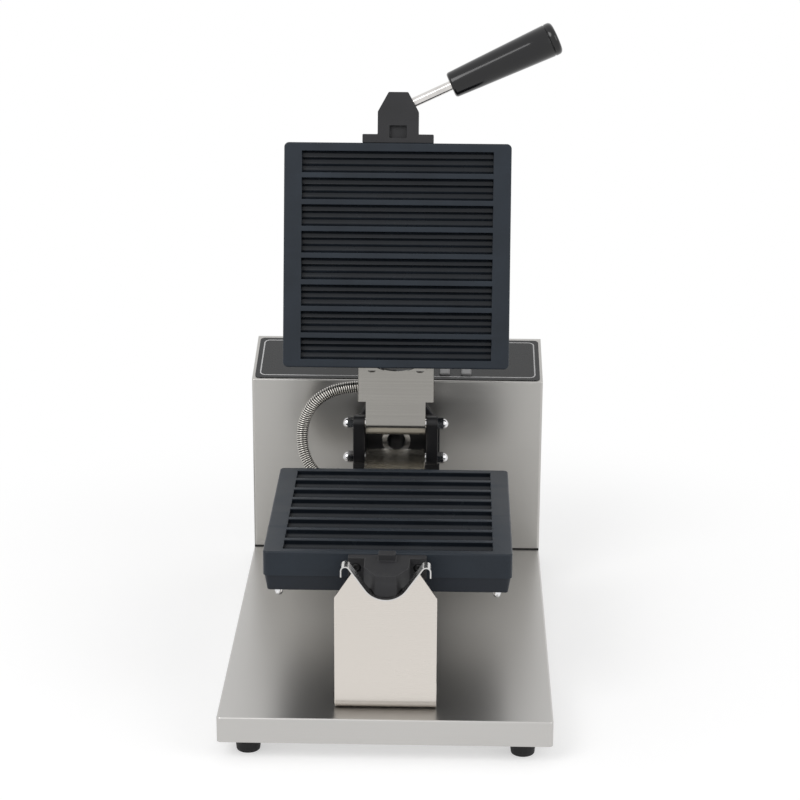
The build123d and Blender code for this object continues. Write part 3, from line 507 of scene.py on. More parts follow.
BLACKED = Moulding("blacked_screw", "bright_fixing", (0.016, 0.016, 0.017), 0.36)
GROUND = TurnedMetal("ground_steel", "bearing_steel", (0.66, 0.66, 0.67), 0.20)
ROD_STEEL = TurnedMetal("rod_steel", "bearing_steel", (0.66, 0.64, 0.62), 0.20, mark_scale=900.0)
BRONZE = TurnedMetal("bush_bronze", "bronze", (0.50, 0.31, 0.13), 0.32)
SHEATH = TurnedMetal("heater_sheath_metal", "heater_sheath", (0.26, 0.24, 0.23), 0.42, stain=0.25)


@dataclass(frozen=True)
class WoundWire(Finish):
    """Wound metal of a hose, with painted shade in the grooves between the turns."""

    # Colour of the grooves between the turns: painted shade.
    groove: Colour = (0.030, 0.029, 0.028)
    attribute: str = "rib_height"

    def paint(self, graph: Graph) -> None:
        """Bright crowns over grooves darkened by painted shade, with a little staining."""
        source = graph.node("ShaderNodeAttribute", {"attribute_name": self.attribute})
        crown = Value(graph, source.outputs["Fac"]).step(0.30, 0.80)
        stains = graph.noise(graph.place(), 140.0, 4.0)
        graph.surface({
            # Darker towards the grooves by rib height: painted shade; the stains are the metal's own.
            "Base Color": graph.blend(crown * (0.82 + stains * 0.3), self.groove, self.colour),
            "Metallic": 1.0,
            "Roughness": (stains - 0.5) * 0.12 + (1.0 - crown) * 0.25 + self.roughness,
        })


HOSE_WIRE = WoundWire("hose_wire", "hose_steel", (0.66, 0.64, 0.60), 0.20)


class Piece:
    """Mesh of one piece while it is being shaped."""

    def __init__(self, name: str, finish: Finish, body: Body) -> None:
        """Start an empty mesh.

        Args:
            name: the piece's name.
            finish: its finish.
            body: the body that it moves with.
        """
        self.name = name
        self.finish = finish
        self.body = body
        self.mesh = bmesh.new()

    def turn(self, matrix: Matrix) -> "Piece":
        """Move the whole mesh."""
        bmesh.ops.transform(self.mesh, matrix=matrix, verts=self.mesh.verts)
        return self

    def round_edges(self, test: EdgeTest, width: float, segments: int = 2) -> "Piece":
        """Round the edges that pass a test.

        Args:
            test: says which edges.
            width: how far the round reaches from the edge.
            segments: facets of the round.

        Returns:
            The piece itself.
        """
        edges = [edge for edge in self.mesh.edges if edge.is_manifold and test(edge)]
        if edges:
            bmesh.ops.bevel(
                self.mesh, geom=edges, offset=width, offset_type="OFFSET", segments=segments,
                profile=0.5, affect="EDGES", clamp_overlap=False, material=-1,
            )
        return self

    def spun(self, profile: Sequence[Tuple[float, float]], steps: int) -> "Piece":
        """Turn a profile about Z.

        Args:
            profile: radius and height of each point.
            steps: facets round the axis.

        Returns:
            The piece itself.
        """
        verts = [self.mesh.verts.new((radius, 0.0, height)) for radius, height in profile]
        edges = [self.mesh.edges.new(pair) for pair in zip(verts, verts[1:])]
        bmesh.ops.spin(
            self.mesh, geom=verts + edges, cent=(0, 0, 0), axis=(0, 0, 1), steps=steps,
            angle=math.tau, use_merge=True,
        )
        bmesh.ops.remove_doubles(self.mesh, verts=self.mesh.verts, dist=1e-6)
        bmesh.ops.recalc_face_normals(self.mesh, faces=self.mesh.faces)
        return self

    def block(self, low: Point, high: Point) -> "Piece":
        """Add a box between two corners."""
        made = bmesh.ops.create_cube(self.mesh, size=1.0)["verts"]
        size = [b - a for a, b in zip(low, high)]
        centre = [(a + b) / 2 for a, b in zip(low, high)]
        bmesh.ops.scale(self.mesh, vec=size, verts=made)
        bmesh.ops.translate(self.mesh, vec=centre, verts=made)
        return self

    def finished(self, replaces: Sequence[str] = (), smooth_angle: float = 32.0) -> bpy.types.Object:
        """Make the object, with its material, its body and the nodes it stands for.

        Args:
            replaces: CAD nodes that it stands for.
            smooth_angle: edges sharper than this stay sharp, in degrees.

        Returns:
            The object.
        """
        data = bpy.data.meshes.new(self.name)
        self.mesh.to_mesh(data)
        self.mesh.free()
        data.polygons.foreach_set("use_smooth", [True] * len(data.polygons))
        data.set_sharp_from_angle(angle=math.radians(smooth_angle))
        data.materials.append(self.finish.material())
        made = bpy.data.objects.new(self.name, data)
        bpy.context.scene.collection.objects.link(made)
        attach(made, self.body.value)
        if replaces:
            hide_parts(*replaces)
        log.info("piece %s: %d faces", self.name, len(data.polygons))
        return made


def weigh_normals(made: bpy.types.Object) -> bpy.types.Object:
    """Let large faces set the shading, so that rounds catch the light and flats stay flat."""
    modifier = made.modifiers.new("flat_faces", "WEIGHTED_NORMAL")
    modifier.keep_sharp = True
    modifier.weight = 60
    return made


def from_cad(node: str, finish: Finish, body: Body) -> Piece:
    """Merged copy of a CAD node.

    Args:
        node: the node's name.
        finish: finish of the copy.
        body: the body that it moves with.

    Returns:
        The piece, with whole flat faces.
    """
    piece = Piece(f"{node}_finished", finish, body)
    piece.mesh.from_mesh(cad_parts[node].data)
    bmesh.ops.remove_doubles(piece.mesh, verts=piece.mesh.verts, dist=2e-6)
    bmesh.ops.dissolve_limit(
        piece.mesh, angle_limit=math.radians(0.4), verts=piece.mesh.verts, edges=piece.mesh.edges,
    )
    return piece


def dress(
    node: str, finish: Finish, body: Body, weighed: bool = True, smooth_angle: float = 32.0
) -> bpy.types.Object:
    """Finished copy of a CAD node that needs no shaping.

    Args:
        node: the node's name.
        finish: finish of the copy.
        body: the body that it moves with.
        weighed: whether large faces set the shading.
        smooth_angle: edges sharper than this stay sharp, in degrees.

    Returns:
        The object.
    """
    made = from_cad(node, finish, body).finished([node], smooth_angle)
    return weigh_normals(made) if weighed else made


def carry_over(nodes: Dict[str, Finish]) -> None:
    """Give CAD nodes that keep their own mesh their finish."""
    for node, finish in nodes.items():
        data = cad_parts[node].data
        data.materials.clear()
        data.materials.append(finish.material())
        log.info("node %s keeps its mesh", node)


def sharper(edge: bmesh.types.BMEdge, degrees: float) -> bool:
    """Whether an edge turns by more than an angle."""
    return edge.calc_face_angle(0.0) > math.radians(degrees)


def middle(edge: bmesh.types.BMEdge) -> Vector:
    """Middle of an edge."""
    return (edge.verts[0].co + edge.verts[1].co) / 2


@dataclass
class Studio:
    """Camera, floor, backdrop and lamps."""

    focal_pixels: float = 2328.2
    frame_pixels: float = 800.0
    sensor: float = 36.0
    camera_place: Point = (56.65 * MM, -2194.69 * MM, 989.02 * MM)
    yaw: float = math.radians(1.301)
    pitch: float = math.radians(18.188)
    roll: float = math.radians(-0.281)
    floor_half: float = 9.0
    shade_near: float = 0.34
    shade_far: float = 0.72
    sky: float = 0.62
    floor_grey: float = 0.62
    floor_lift: float = 0.47
    key_power: float = 46.0
    fill_power: float = 16.0

    def build(self) -> None:
        """Make the camera, the floor and the lights."""
        self.camera()
        self.floor()
        self.world()
        self.lamp("key_lamp", (-1.7, -2.3, 2.7), 1.9, self.key_power)
        self.lamp("fill_lamp", (2.4, -1.5, 1.9), 1.6, self.fill_power)

    def camera(self) -> None:
        """Camera at the photograph's viewing angle."""
        data = bpy.data.cameras.new("camera")
        data.sensor_fit = "HORIZONTAL"
        data.sensor_width = self.sensor
        data.lens = self.focal_pixels * self.sensor / self.frame_pixels
        data.clip_end = 60.0
        turn = (
            Matrix.Rotation(self.yaw, 3, "Z")
            @ Matrix.Rotation(-self.pitch, 3, "X")
            @ Matrix.Rotation(self.roll, 3, "Y")
        )
        right, forward, upward = turn.col[0], turn.col[1], turn.col[2]
        pose = Matrix.Identity(4)
        for row in range(3):
            pose[row][0] = right[row]
            pose[row][1] = upward[row]
            pose[row][2] = -forward[row]
            pose[row][3] = self.camera_place[row]
        made = bpy.data.objects.new("camera", data)
        made.matrix_world = pose
        bpy.context.scene.collection.objects.link(made)
        bpy.context.scene.camera = made

    def floor(self) -> None:
        """Pale floor that keeps the soft shadow and runs out to white."""
        mesh = bmesh.new()
        bmesh.ops.create_grid(mesh, x_segments=2, y_segments=2, size=self.floor_half)
        data = bpy.data.meshes.new("floor")
        mesh.to_mesh(data)
        mesh.free()
        made = bpy.data.objects.new("floor", data)
        bpy.context.scene.collection.objects.link(made)
        paint = bpy.data.materials.new("floor_paint")
        paint.use_nodes = True
        graph = Graph(paint.node_tree)
        place = graph.node("ShaderNodeTexCoord").outputs["Object"]
        measured = graph.node("ShaderNodeVectorMath", {"operation": "LENGTH"}, {0: place})
        distance = Value(graph, measured.outputs[1])
        shown = self.shown_directly(graph)
        matt = graph.node("ShaderNodeBsdfDiffuse", None, {"Color": (*[self.floor_grey] * 3, 1.0)})
        lift = graph.node("ShaderNodeEmission", None, {"Strength": shown * self.floor_lift})
        near = graph.node("ShaderNodeAddShader", None, {0: matt.outputs[0], 1: lift.outputs[0]})
        white = graph.node("ShaderNodeEmission", None, {"Strength": 1.0})
        far = distance.step(self.shade_near, self.shade_far) * shown
        mixed = graph.node("ShaderNodeMixShader", None, {0: far, 1: near.outputs[0], 2: white.outputs[0]})
        graph.node("ShaderNodeOutputMaterial", None, {"Surface": mixed.outputs[0]})
        data.materials.append(paint)

    def shown_directly(self, graph: Graph) -> Value:
        """1 for rays from the camera, from gloss or through glass."""
        path = graph.node("ShaderNodeLightPath")
        camera = Value(graph, path.outputs["Is Camera Ray"])
        gloss = Value(graph, path.outputs["Is Glossy Ray"])
        through = Value(graph, path.outputs["Is Transmission Ray"])
        return (camera + gloss + through).at_most(1.0)

    def world(self) -> None:
        """Pale surroundings that light softly and show white."""
        world = bpy.data.worlds.new("surroundings")
        bpy.context.scene.world = world
        world.use_nodes = True
        graph = Graph(world.node_tree)
        shown = self.shown_directly(graph)
        strength = shown * (1.0 - self.sky) + self.sky
        back = graph.node("ShaderNodeBackground", None, {"Color": (1.0, 1.0, 1.0, 1.0), "Strength": strength})
        graph.node("ShaderNodeOutputWorld", None, {"Surface": back.outputs[0]})

    def lamp(self, name: str, place: Point, size: float, power: float) -> None:
        """Soft square lamp that points at the machine.

        Args:
            name: the lamp's name.
            place: where it hangs, in metres.
            size: length of its side.
            power: its power in watts.
        """
        data = bpy.data.lights.new(name, "AREA")
        data.shape = "SQUARE"
        data.size = size
        data.energy = power
        made = bpy.data.objects.new(name, data)
        made.location = place
        aim = Vector((0.0, 0.0, 0.25)) - Vector(place)
        made.rotation_euler = aim.to_track_quat("-Z", "Y").to_euler()
        bpy.context.scene.collection.objects.link(made)


@dataclass
class ArmouredHose:
    """Wound metal hose between the covers, with its fittings."""

    radius: float = 6.3 * MM
    rib_pitch: float = 2.3 * MM
    rib_depth: float = 1.25 * MM
    steps_per_rib: int = 8
    facets: int = 28
    length: float = 200.4 * MM
    curve_resolution: int = 40
    route: Tuple[Point, ...] = (
        (-0.0274, 0.119330, 0.243048),
        (-0.0544, 0.119330, 0.243048),
        (-0.0840, 0.117330, 0.230000),
        (-0.0990, 0.119250, 0.202000),
        (-0.0980, 0.111250, 0.172000),
        (-0.0840, 0.101250, 0.150000),
        (-0.0580, 0.087250, 0.146000),
        (-0.0580, 0.060250, 0.146000),
    )

    def build(self) -> None:
        """Make the hose and dress its fittings."""
        self.hose()
        self.fittings()

    def centreline(self) -> Sequence[Vector]:
        """Points of the smooth line that the hose follows.

        Returns:
            Points at even steps from the elbow to the lower ferrule.
        """
        curve = bpy.data.curves.new("hose_line", "CURVE")
        curve.dimensions = "3D"
        spline = curve.splines.new("NURBS")
        spline.points.add(len(self.route) - 1)
        for point, place in zip(spline.points, self.route):
            point.co = (*place, 1.0)
        spline.order_u = 3
        spline.use_endpoint_u = True
        spline.resolution_u = self.curve_resolution
        holder = bpy.data.objects.new("hose_line", curve)
        bpy.context.scene.collection.objects.link(holder)
        bpy.context.view_layer.update()
        line = bpy.data.meshes.new_from_object(holder)
        points = [vertex.co.copy() for vertex in line.vertices]
        bpy.data.objects.remove(holder)
        bpy.data.meshes.remove(line)
        return self.even_steps(points)

    def even_steps(self, points: Sequence[Vector]) -> Sequence[Vector]:
        """Walk along a line in equal steps.

        Args:
            points: the line.

        Returns:
            Points one step apart.
        """
        lengths = [0.0]
        for first, second in zip(points, points[1:]):
            lengths.append(lengths[-1] + (second - first).length)
        count = round(lengths[-1] / self.rib_pitch) * self.steps_per_rib
        walked, index = [], 0
        for number in range(count + 1):
            want = lengths[-1] * number / count
            while index < len(points) - 2 and lengths[index + 1] < want:
                index += 1
            span = lengths[index + 1] - lengths[index]
            share = 0.0 if span == 0 else (want - lengths[index]) / span
            walked.append(points[index].lerp(points[index + 1], min(1.0, share)))
        return walked

    def hose(self) -> None:
        """Sweep rings along the line, with a rib that winds round it."""
        line = self.centreline()
        piece = Piece("armoured_hose_wound", HOSE_WIRE, Body.ROTOR)
        side = Vector((0.0, 0.0, 1.0))
        rings, heights = [], []
        for number, place in enumerate(line):
            before, after = line[max(0, number - 1)], line[min(len(line) - 1, number + 1)]
            ahead = (after - before).normalized()
            side = (side - ahead * side.dot(ahead)).normalized()
            across = ahead.cross(side)
            pose = Matrix((
                (side.x, across.x, ahead.x, place.x),
                (side.y, across.y, ahead.y, place.y),
                (side.z, across.z, ahead.z, place.z),
                (0.0, 0.0, 0.0, 1.0),
            ))
            ring = bmesh.ops.create_circle(piece.mesh, radius=self.radius, segments=self.facets)["verts"]
            turn = math.tau * number / self.steps_per_rib
            for index, vertex in enumerate(ring):
                wave = 0.5 + 0.5 * math.cos(turn - math.tau * index / self.facets)
                sunk = (1.0 - wave) ** 1.6
                vertex.co *= 1.0 - (self.rib_depth / self.radius) * sunk
                heights.append(1.0 - sunk)
            bmesh.ops.transform(piece.mesh, matrix=pose, verts=ring)
            rings.append(ring)
        for first, second in zip(rings, rings[1:]):
            for index in range(self.facets):
                beside = (index + 1) % self.facets
                piece.mesh.faces.new((first[index], first[beside], second[beside], second[index]))
        for ring in (rings[0], rings[-1]):
            piece.mesh.faces.new(ring)
        bmesh.ops.recalc_face_normals(piece.mesh, faces=piece.mesh.faces)
        data = bpy.data.meshes.new(piece.name)
        piece.mesh.to_mesh(data)
        piece.mesh.free()
        data.polygons.foreach_set("use_smooth", [True] * len(data.polygons))
        crowns = data.attributes.new(HOSE_WIRE.attribute, "FLOAT", "POINT")
        crowns.data.foreach_set("value", heights)
        data.materials.append(HOSE_WIRE.material())
        made = bpy.data.objects.new(piece.name, data)
        bpy.context.scene.collection.objects.link(made)
        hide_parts("armoured_hose")
        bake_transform(made)
        log.info("piece %s: %d faces", piece.name, len(data.polygons))

    def fittings(self) -> None:
        """Elbow, ferrule and the conduit into the hub."""
        for node, body, finish in (
            ("hose_elbow", Body.UPPER, ELBOW_DARK),
            ("lower_ferrule", Body.ROTOR, PLATED),
            ("feed_conduit", Body.ROTOR, PLATED),
        ):
            dress(node, finish, body)


@dataclass
class BaseTray:
    """Pan of sheet steel on four rubber feet."""

    fold: float = 1.7 * MM
    fold_zone: float = 6.0 * MM

    def build(self) -> None:
        """Dress the pan, its bottom and the feet."""
        piece = from_cad("base_tray", TRAY_STEEL, Body.BASE)
        piece.round_edges(self.on_fold, self.fold, 4)
        weigh_normals(piece.finished(["base_tray"]))
        dress("feet", FOOT_RUBBER, Body.BASE, weighed=False)
        carry_over({"bottom_plate": TRAY_STEEL, "feet_screws": PLATED})

    def on_fold(self, edge: bmesh.types.BMEdge) -> bool:
        """Whether an edge is part of the fold round the top."""
        place = middle(edge)
        beside = abs(place.x) > PLACES.half_width - self.fold_zone
        outside = beside or abs(place.y) > PLACES.back - self.fold_zone
        return abs(place.z - PLACES.tray_top) < 0.02 * MM and outside and sharper(edge, 30)


@dataclass
class FrontStand:
    """Bent sheet stand with its saddle strip."""

    deburr: float = 0.35 * MM

    def build(self) -> None:
        """Dress the stand, its strip and its screws."""
        stand = from_cad("cradle_stand", STAND_STEEL, Body.BASE)
        stand.round_edges(lambda edge: sharper(edge, 60), self.deburr, 2)
        weigh_normals(stand.finished(["cradle_stand"]))
        dress("saddle_strip", SADDLE_STEEL, Body.BASE, weighed=False, smooth_angle=40.0)
        SocketScrews().dress("stand_screws", Body.BASE, (0.0, 0.0, 1.0))


@dataclass
class SocketScrews:
    """Button-head screws with a hexagon socket."""

    socket_share: float = 0.42
    socket_depth_share: float = 0.5
    dish_share: float = 0.08
    rim_share: float = 1.22
    facets: int = 30

    def dress(self, node: str, body: Body, outward: Point, finish: Finish = PLATED) -> None:
        """Put a finished head over each head of a node of screws.

        Args:
            node: the CAD node of the screws.
            body: the body that they move with.
            outward: direction in which the heads look.
            finish: finish of the heads and shanks.
        """
        out = Vector(outward).normalized()
        source = from_cad(node, finish, body)
        seats = self.seats(source.mesh, out)
        source.mesh.free()
        piece = Piece(f"{node}_finished", finish, body)
        turn = out.to_track_quat("Z", "Y").to_matrix().to_4x4()
        for centre, radius, height, shank, grip in seats:
            self.screw(piece, Matrix.Translation(centre) @ turn, radius, height, shank, grip)
        piece.finished([node], 38.0)

    def seats(self, mesh: bmesh.types.BMesh, out: Vector) -> Sequence[Seat]:
        """Measure each screw of a node.

        Args:
            mesh: all screws of the node.
            out: direction in which the heads look.

        Returns:
            Seat, head radius, head height, shank radius and grip of each screw.
        """
        found = []
        left = set(mesh.verts)
        while left:
            group, queue = set(), [left.pop()]
            while queue:
                vertex = queue.pop()
                group.add(vertex)
                for edge in vertex.link_edges:
                    other = edge.other_vert(vertex)
                    if other in left:
                        left.remove(other)
                        queue.append(other)
            places = [vertex.co for vertex in group]
            heights = [place.dot(out) for place in places]
            centre = sum(places, Vector()) / len(places)
            axis = centre - out * centre.dot(out)
            spread = [((place - out * place.dot(out)) - axis).length for place in places]
            low, high = min(heights), max(heights)
            rims = [value for value, radius in zip(heights, spread) if radius > 0.97 * max(spread)]
            seat = min(rims)
            shanks = [radius for value, radius in zip(heights, spread) if value < low + 0.1 * MM]
            found.append((axis + out * seat, max(spread), high - seat, max(shanks), seat - low))
        return found

    def screw(
        self, piece: Piece, pose: Matrix, radius: float, height: float, shank: float, grip: float
    ) -> None:
        """Add one screw.

        Args:
            piece: the piece that it goes into.
            pose: its seat, with Z outward.
            radius: radius of the head.
            height: height of the head.
            shank: radius of the shank.
            grip: length of the shank below the seat.
        """
        mesh = piece.mesh
        socket, depth = radius * self.socket_share, height * self.socket_depth_share
        floor = bmesh.ops.create_circle(mesh, cap_ends=True, radius=socket, segments=6)["verts"]
        bmesh.ops.translate(mesh, vec=(0, 0, height - depth), verts=floor)
        bottom = {edge for vertex in floor for edge in vertex.link_edges}
        walls = bmesh.ops.extrude_edge_only(mesh, edges=list(bottom))["geom"]
        rim = [item for item in walls if isinstance(item, bmesh.types.BMVert)]
        rim_edges = [item for item in walls if isinstance(item, bmesh.types.BMEdge)]
        bmesh.ops.translate(mesh, vec=(0, 0, depth - self.dish_share * height), verts=rim)
        made = list(floor) + rim
        loop = bmesh.ops.create_circle(mesh, radius=socket * self.rim_share, segments=self.facets)["verts"]
        bmesh.ops.translate(mesh, vec=(0, 0, height), verts=loop)
        made += loop
        loop_edges = list({edge for vertex in loop for edge in vertex.link_edges})
        bmesh.ops.bridge_loops(mesh, edges=[edge for edge in rim_edges if edge.is_boundary] + loop_edges)
        outline = [(0.72, 0.90), (0.92, 0.62), (1.0, 0.30), (1.0, 0.0), (shank / radius, 0.0)]
        outline.append((shank / radius, -grip / height))
        current, width = loop_edges, socket * self.rim_share
        for share, level in outline:
            grown = bmesh.ops.extrude_edge_only(mesh, edges=current)["geom"]
            verts = [item for item in grown if isinstance(item, bmesh.types.BMVert)]
            factor = share * radius / width
            bmesh.ops.scale(mesh, vec=(factor, factor, 1.0), verts=verts)
            bmesh.ops.translate(mesh, vec=(0, 0, level * height - verts[0].co.z), verts=verts)
            width = share * radius
            current = [
                item for item in grown
                if isinstance(item, bmesh.types.BMEdge) and all(vertex in verts for vertex in item.verts)
            ]
            made += verts
        bmesh.ops.edgeloop_fill(mesh, edges=current)
        bmesh.ops.transform(mesh, matrix=pose, verts=made)
        bmesh.ops.recalc_face_normals(mesh, faces=mesh.faces)


@dataclass
class ControlBox:
    """Sheet box with its sloping panel, keys, window, back plate and what is inside."""

    edge_round: float = 0.9 * MM
    border_inset: float = 4.6 * MM
    border_width: float = 1.35 * MM
    border_corner: float = 6.5 * MM
    border_height: float = 0.12 * MM
    film: float = 0.8 * MM
    film_inset: float = 3.0 * MM
    bead: float = 1.3 * MM
    key_width: float = 11.0 * MM
    key_depth: float = 12.5 * MM
    key_face: float = 1.5 * MM
    key_proud: float = 2.8 * MM
    key_centres: Tuple[float, float] = (50.5 * MM, 73.5 * MM)
    key_slope: float = 17.5 * MM

    def build(self) -> None:
        """Make the box, the panel and the back."""
        shell = from_cad("control_box", BOX_STEEL, Body.BASE)
        shell.round_edges(self.on_panel_rim, self.edge_round, 3)
        weigh_normals(shell.finished(["control_box"]))
        dress("panel_overlay", PANEL_FILM, Body.BASE)
        self.border()
        self.keys()
        self.seam()
        window = from_cad("display_window", WINDOW_SMOKE, Body.BASE)
        window.round_edges(lambda edge: sharper(edge, 60), 0.3 * MM, 2)
        weigh_normals(window.finished(["display_window"]))
        dress("rear_cover", BOX_STEEL, Body.BASE)
        dress("cable_gland", BLACK_PLASTIC, Body.BASE, weighed=False)
        SocketScrews().dress("rear_cover_screws", Body.BASE, (0.0, 1.0, 0.0))
        carry_over({
            "display_module": BLACK_PLASTIC,
            "controller_board": BOARD_GREEN,
            "board_standoffs": PLATED,
            "key_switches": BLACK_PLASTIC,
            "power_relay": BLACK_PLASTIC,
            "terminal_block": BLACK_PLASTIC,
        })

    def on_panel_rim(self, edge: bmesh.types.BMEdge) -> bool:
        """Whether an edge runs round the outside of the slope."""
        if not sharper(edge, 8):
            return False
        local = PLACES.panel.inverted() @ middle(edge)
        if abs(local.z) > 0.05 * MM:
            return False
        at_side = abs(local.x) > PLACES.half_width - 3.0 * MM
        at_front = local.y < 1.0 * MM
        at_back = local.y > PLACES.panel_length - 0.3 * MM
        return at_side or at_front or at_back

    def border(self) -> None:
        """Pale line printed round the panel."""
        piece = Piece("panel_border_line", PANEL_LINE, Body.BASE)
        half = PLACES.half_width - self.film_inset - self.border_inset
        length = PLACES.panel_length / 2 - self.film_inset - self.border_inset
        sheet = bmesh.ops.create_grid(piece.mesh, x_segments=1, y_segments=1, size=1.0)["verts"]
        bmesh.ops.scale(piece.mesh, vec=(half, length, 1.0), verts=sheet)
        bmesh.ops.bevel(
            piece.mesh, geom=list(piece.mesh.verts), offset=self.border_corner, offset_type="OFFSET",
            segments=8, profile=0.5, affect="VERTICES", clamp_overlap=True, material=-1,
        )
        inside = bmesh.ops.inset_region(
            piece.mesh, faces=list(piece.mesh.faces), thickness=self.border_width,
            use_boundary=True, use_even_offset=True,
        )
        ring = set(inside["faces"])
        centre = [face for face in piece.mesh.faces if face not in ring]
        bmesh.ops.delete(piece.mesh, geom=centre, context="FACES")
        grown = bmesh.ops.extrude_face_region(piece.mesh, geom=list(piece.mesh.faces))["geom"]
        upper = [item for item in grown if isinstance(item, bmesh.types.BMVert)]
        bmesh.ops.translate(piece.mesh, vec=(0, 0, self.border_height), verts=upper)
        bmesh.ops.recalc_face_normals(piece.mesh, faces=piece.mesh.faces)
        lift = Matrix.Translation((0.0, PLACES.panel_length / 2, self.film))
        piece.turn(PLACES.panel @ lift)
        piece.finished()

    def seam(self) -> None:
        """Dark rounded strip along the join where the box meets the tray."""
        piece = Piece("box_foot_bead", SEAM_DARK, Body.BASE)
        half, bead = PLACES.half_width - 0.4 * MM, self.bead
        front, top = PLACES.box_front, PLACES.tray_top
        piece.block((-half, front - bead, top - 0.2 * MM), (half, front + 0.3 * MM, top + bead))
        piece.round_edges(
            lambda edge: middle(edge).y < front - 0.5 * bead and middle(edge).z > top + 0.5 * bead,
            bead * 0.6, 3,
        )
        piece.finished()

    def keys(self) -> None:
        """Two key caps, each with a paler pad set into its face."""
        for node, body, centre in (
            ("key_left", Body.KEY_LEFT, self.key_centres[0]),
            ("key_right", Body.KEY_RIGHT, self.key_centres[1]),
        ):
            dress(node, KEY_GREY, body)
            pad = Piece(f"{node}_pad", KEY_FACE, body)
            width, depth = self.key_width / 2 - self.key_face, self.key_depth / 2 - self.key_face
            pad.block((-width, -depth, -0.3 * MM), (width, depth, 0.12 * MM))
            pad.round_edges(lambda edge: middle(edge).z > -0.2 * MM and sharper(edge, 60), 0.1 * MM, 1)
            pad.turn(PLACES.panel @ Matrix.Translation((centre, self.key_slope, self.key_proud)))
            pad.finished()


@dataclass
class RotorDrive:
    """Bearing housing, shaft, hub and the yoke with its bolts."""

    arm_round: float = 0.9 * MM
    hub_round: float = 0.9 * MM
    hub_side: float = 37.0 * MM
    hub_top_drop: float = 4.0 * MM
    hub_bottom_drop: float = 38.0 * MM
    bolt_zone: float = 7.0 * MM

    def build(self) -> None:
        """Dress everything between the box and the moulds."""
        dress("bearing_housing", NOSE_CASTING, Body.BASE)
        SocketScrews().dress("housing_screws", Body.BASE, (0.0, -1.0, 0.0))
        hub = from_cad("hub_plate", BLACK_STEEL, Body.ROTOR)
        hub.round_edges(self.on_plate_outline, self.hub_round, 2)
        weigh_normals(hub.finished(["hub_plate"]))
        for node in ("yoke_arm_left", "yoke_arm_right"):
            arm = from_cad(node, BLACK_STEEL, Body.ROTOR)
            arm.round_edges(self.on_arm_outline, self.arm_round, 2)
            weigh_normals(arm.finished([node]))
        for node in ("upper_hinge_bolt", "lower_hinge_bolt", "upper_hinge_nut", "lower_hinge_nut"):
            dress(node, PLATED, Body.ROTOR, weighed=False, smooth_angle=30.0)
        dress("rotor_shaft", GROUND, Body.ROTOR, weighed=False)
        carry_over({
            "front_bearing": GROUND,
            "rear_bearing": GROUND,
            "shaft_nut": PLATED,
        })

    def on_plate_outline(self, edge: bmesh.types.BMEdge) -> bool:
        """Whether an edge is on the outline of the hub plate."""
        place = middle(edge)
        beside = abs(place.x) > self.hub_side
        above = place.z > PLACES.upper_pin_z - self.hub_top_drop
        below = place.z < PLACES.axis_z - self.hub_bottom_drop
        return (beside or above or below) and sharper(edge, 50)

    def on_arm_outline(self, edge: bmesh.types.BMEdge) -> bool:
        """Whether an edge is on the outline of an arm and not round a bolt hole."""
        place = middle(edge)
        near_bolt = any(
            math.hypot(place.y - PLACES.hinge_y, place.z - pin_z) < self.bolt_zone
            for pin_z in (PLACES.upper_pin_z, PLACES.lower_pin_z)
        )
        return sharper(edge, 50) and not near_bolt


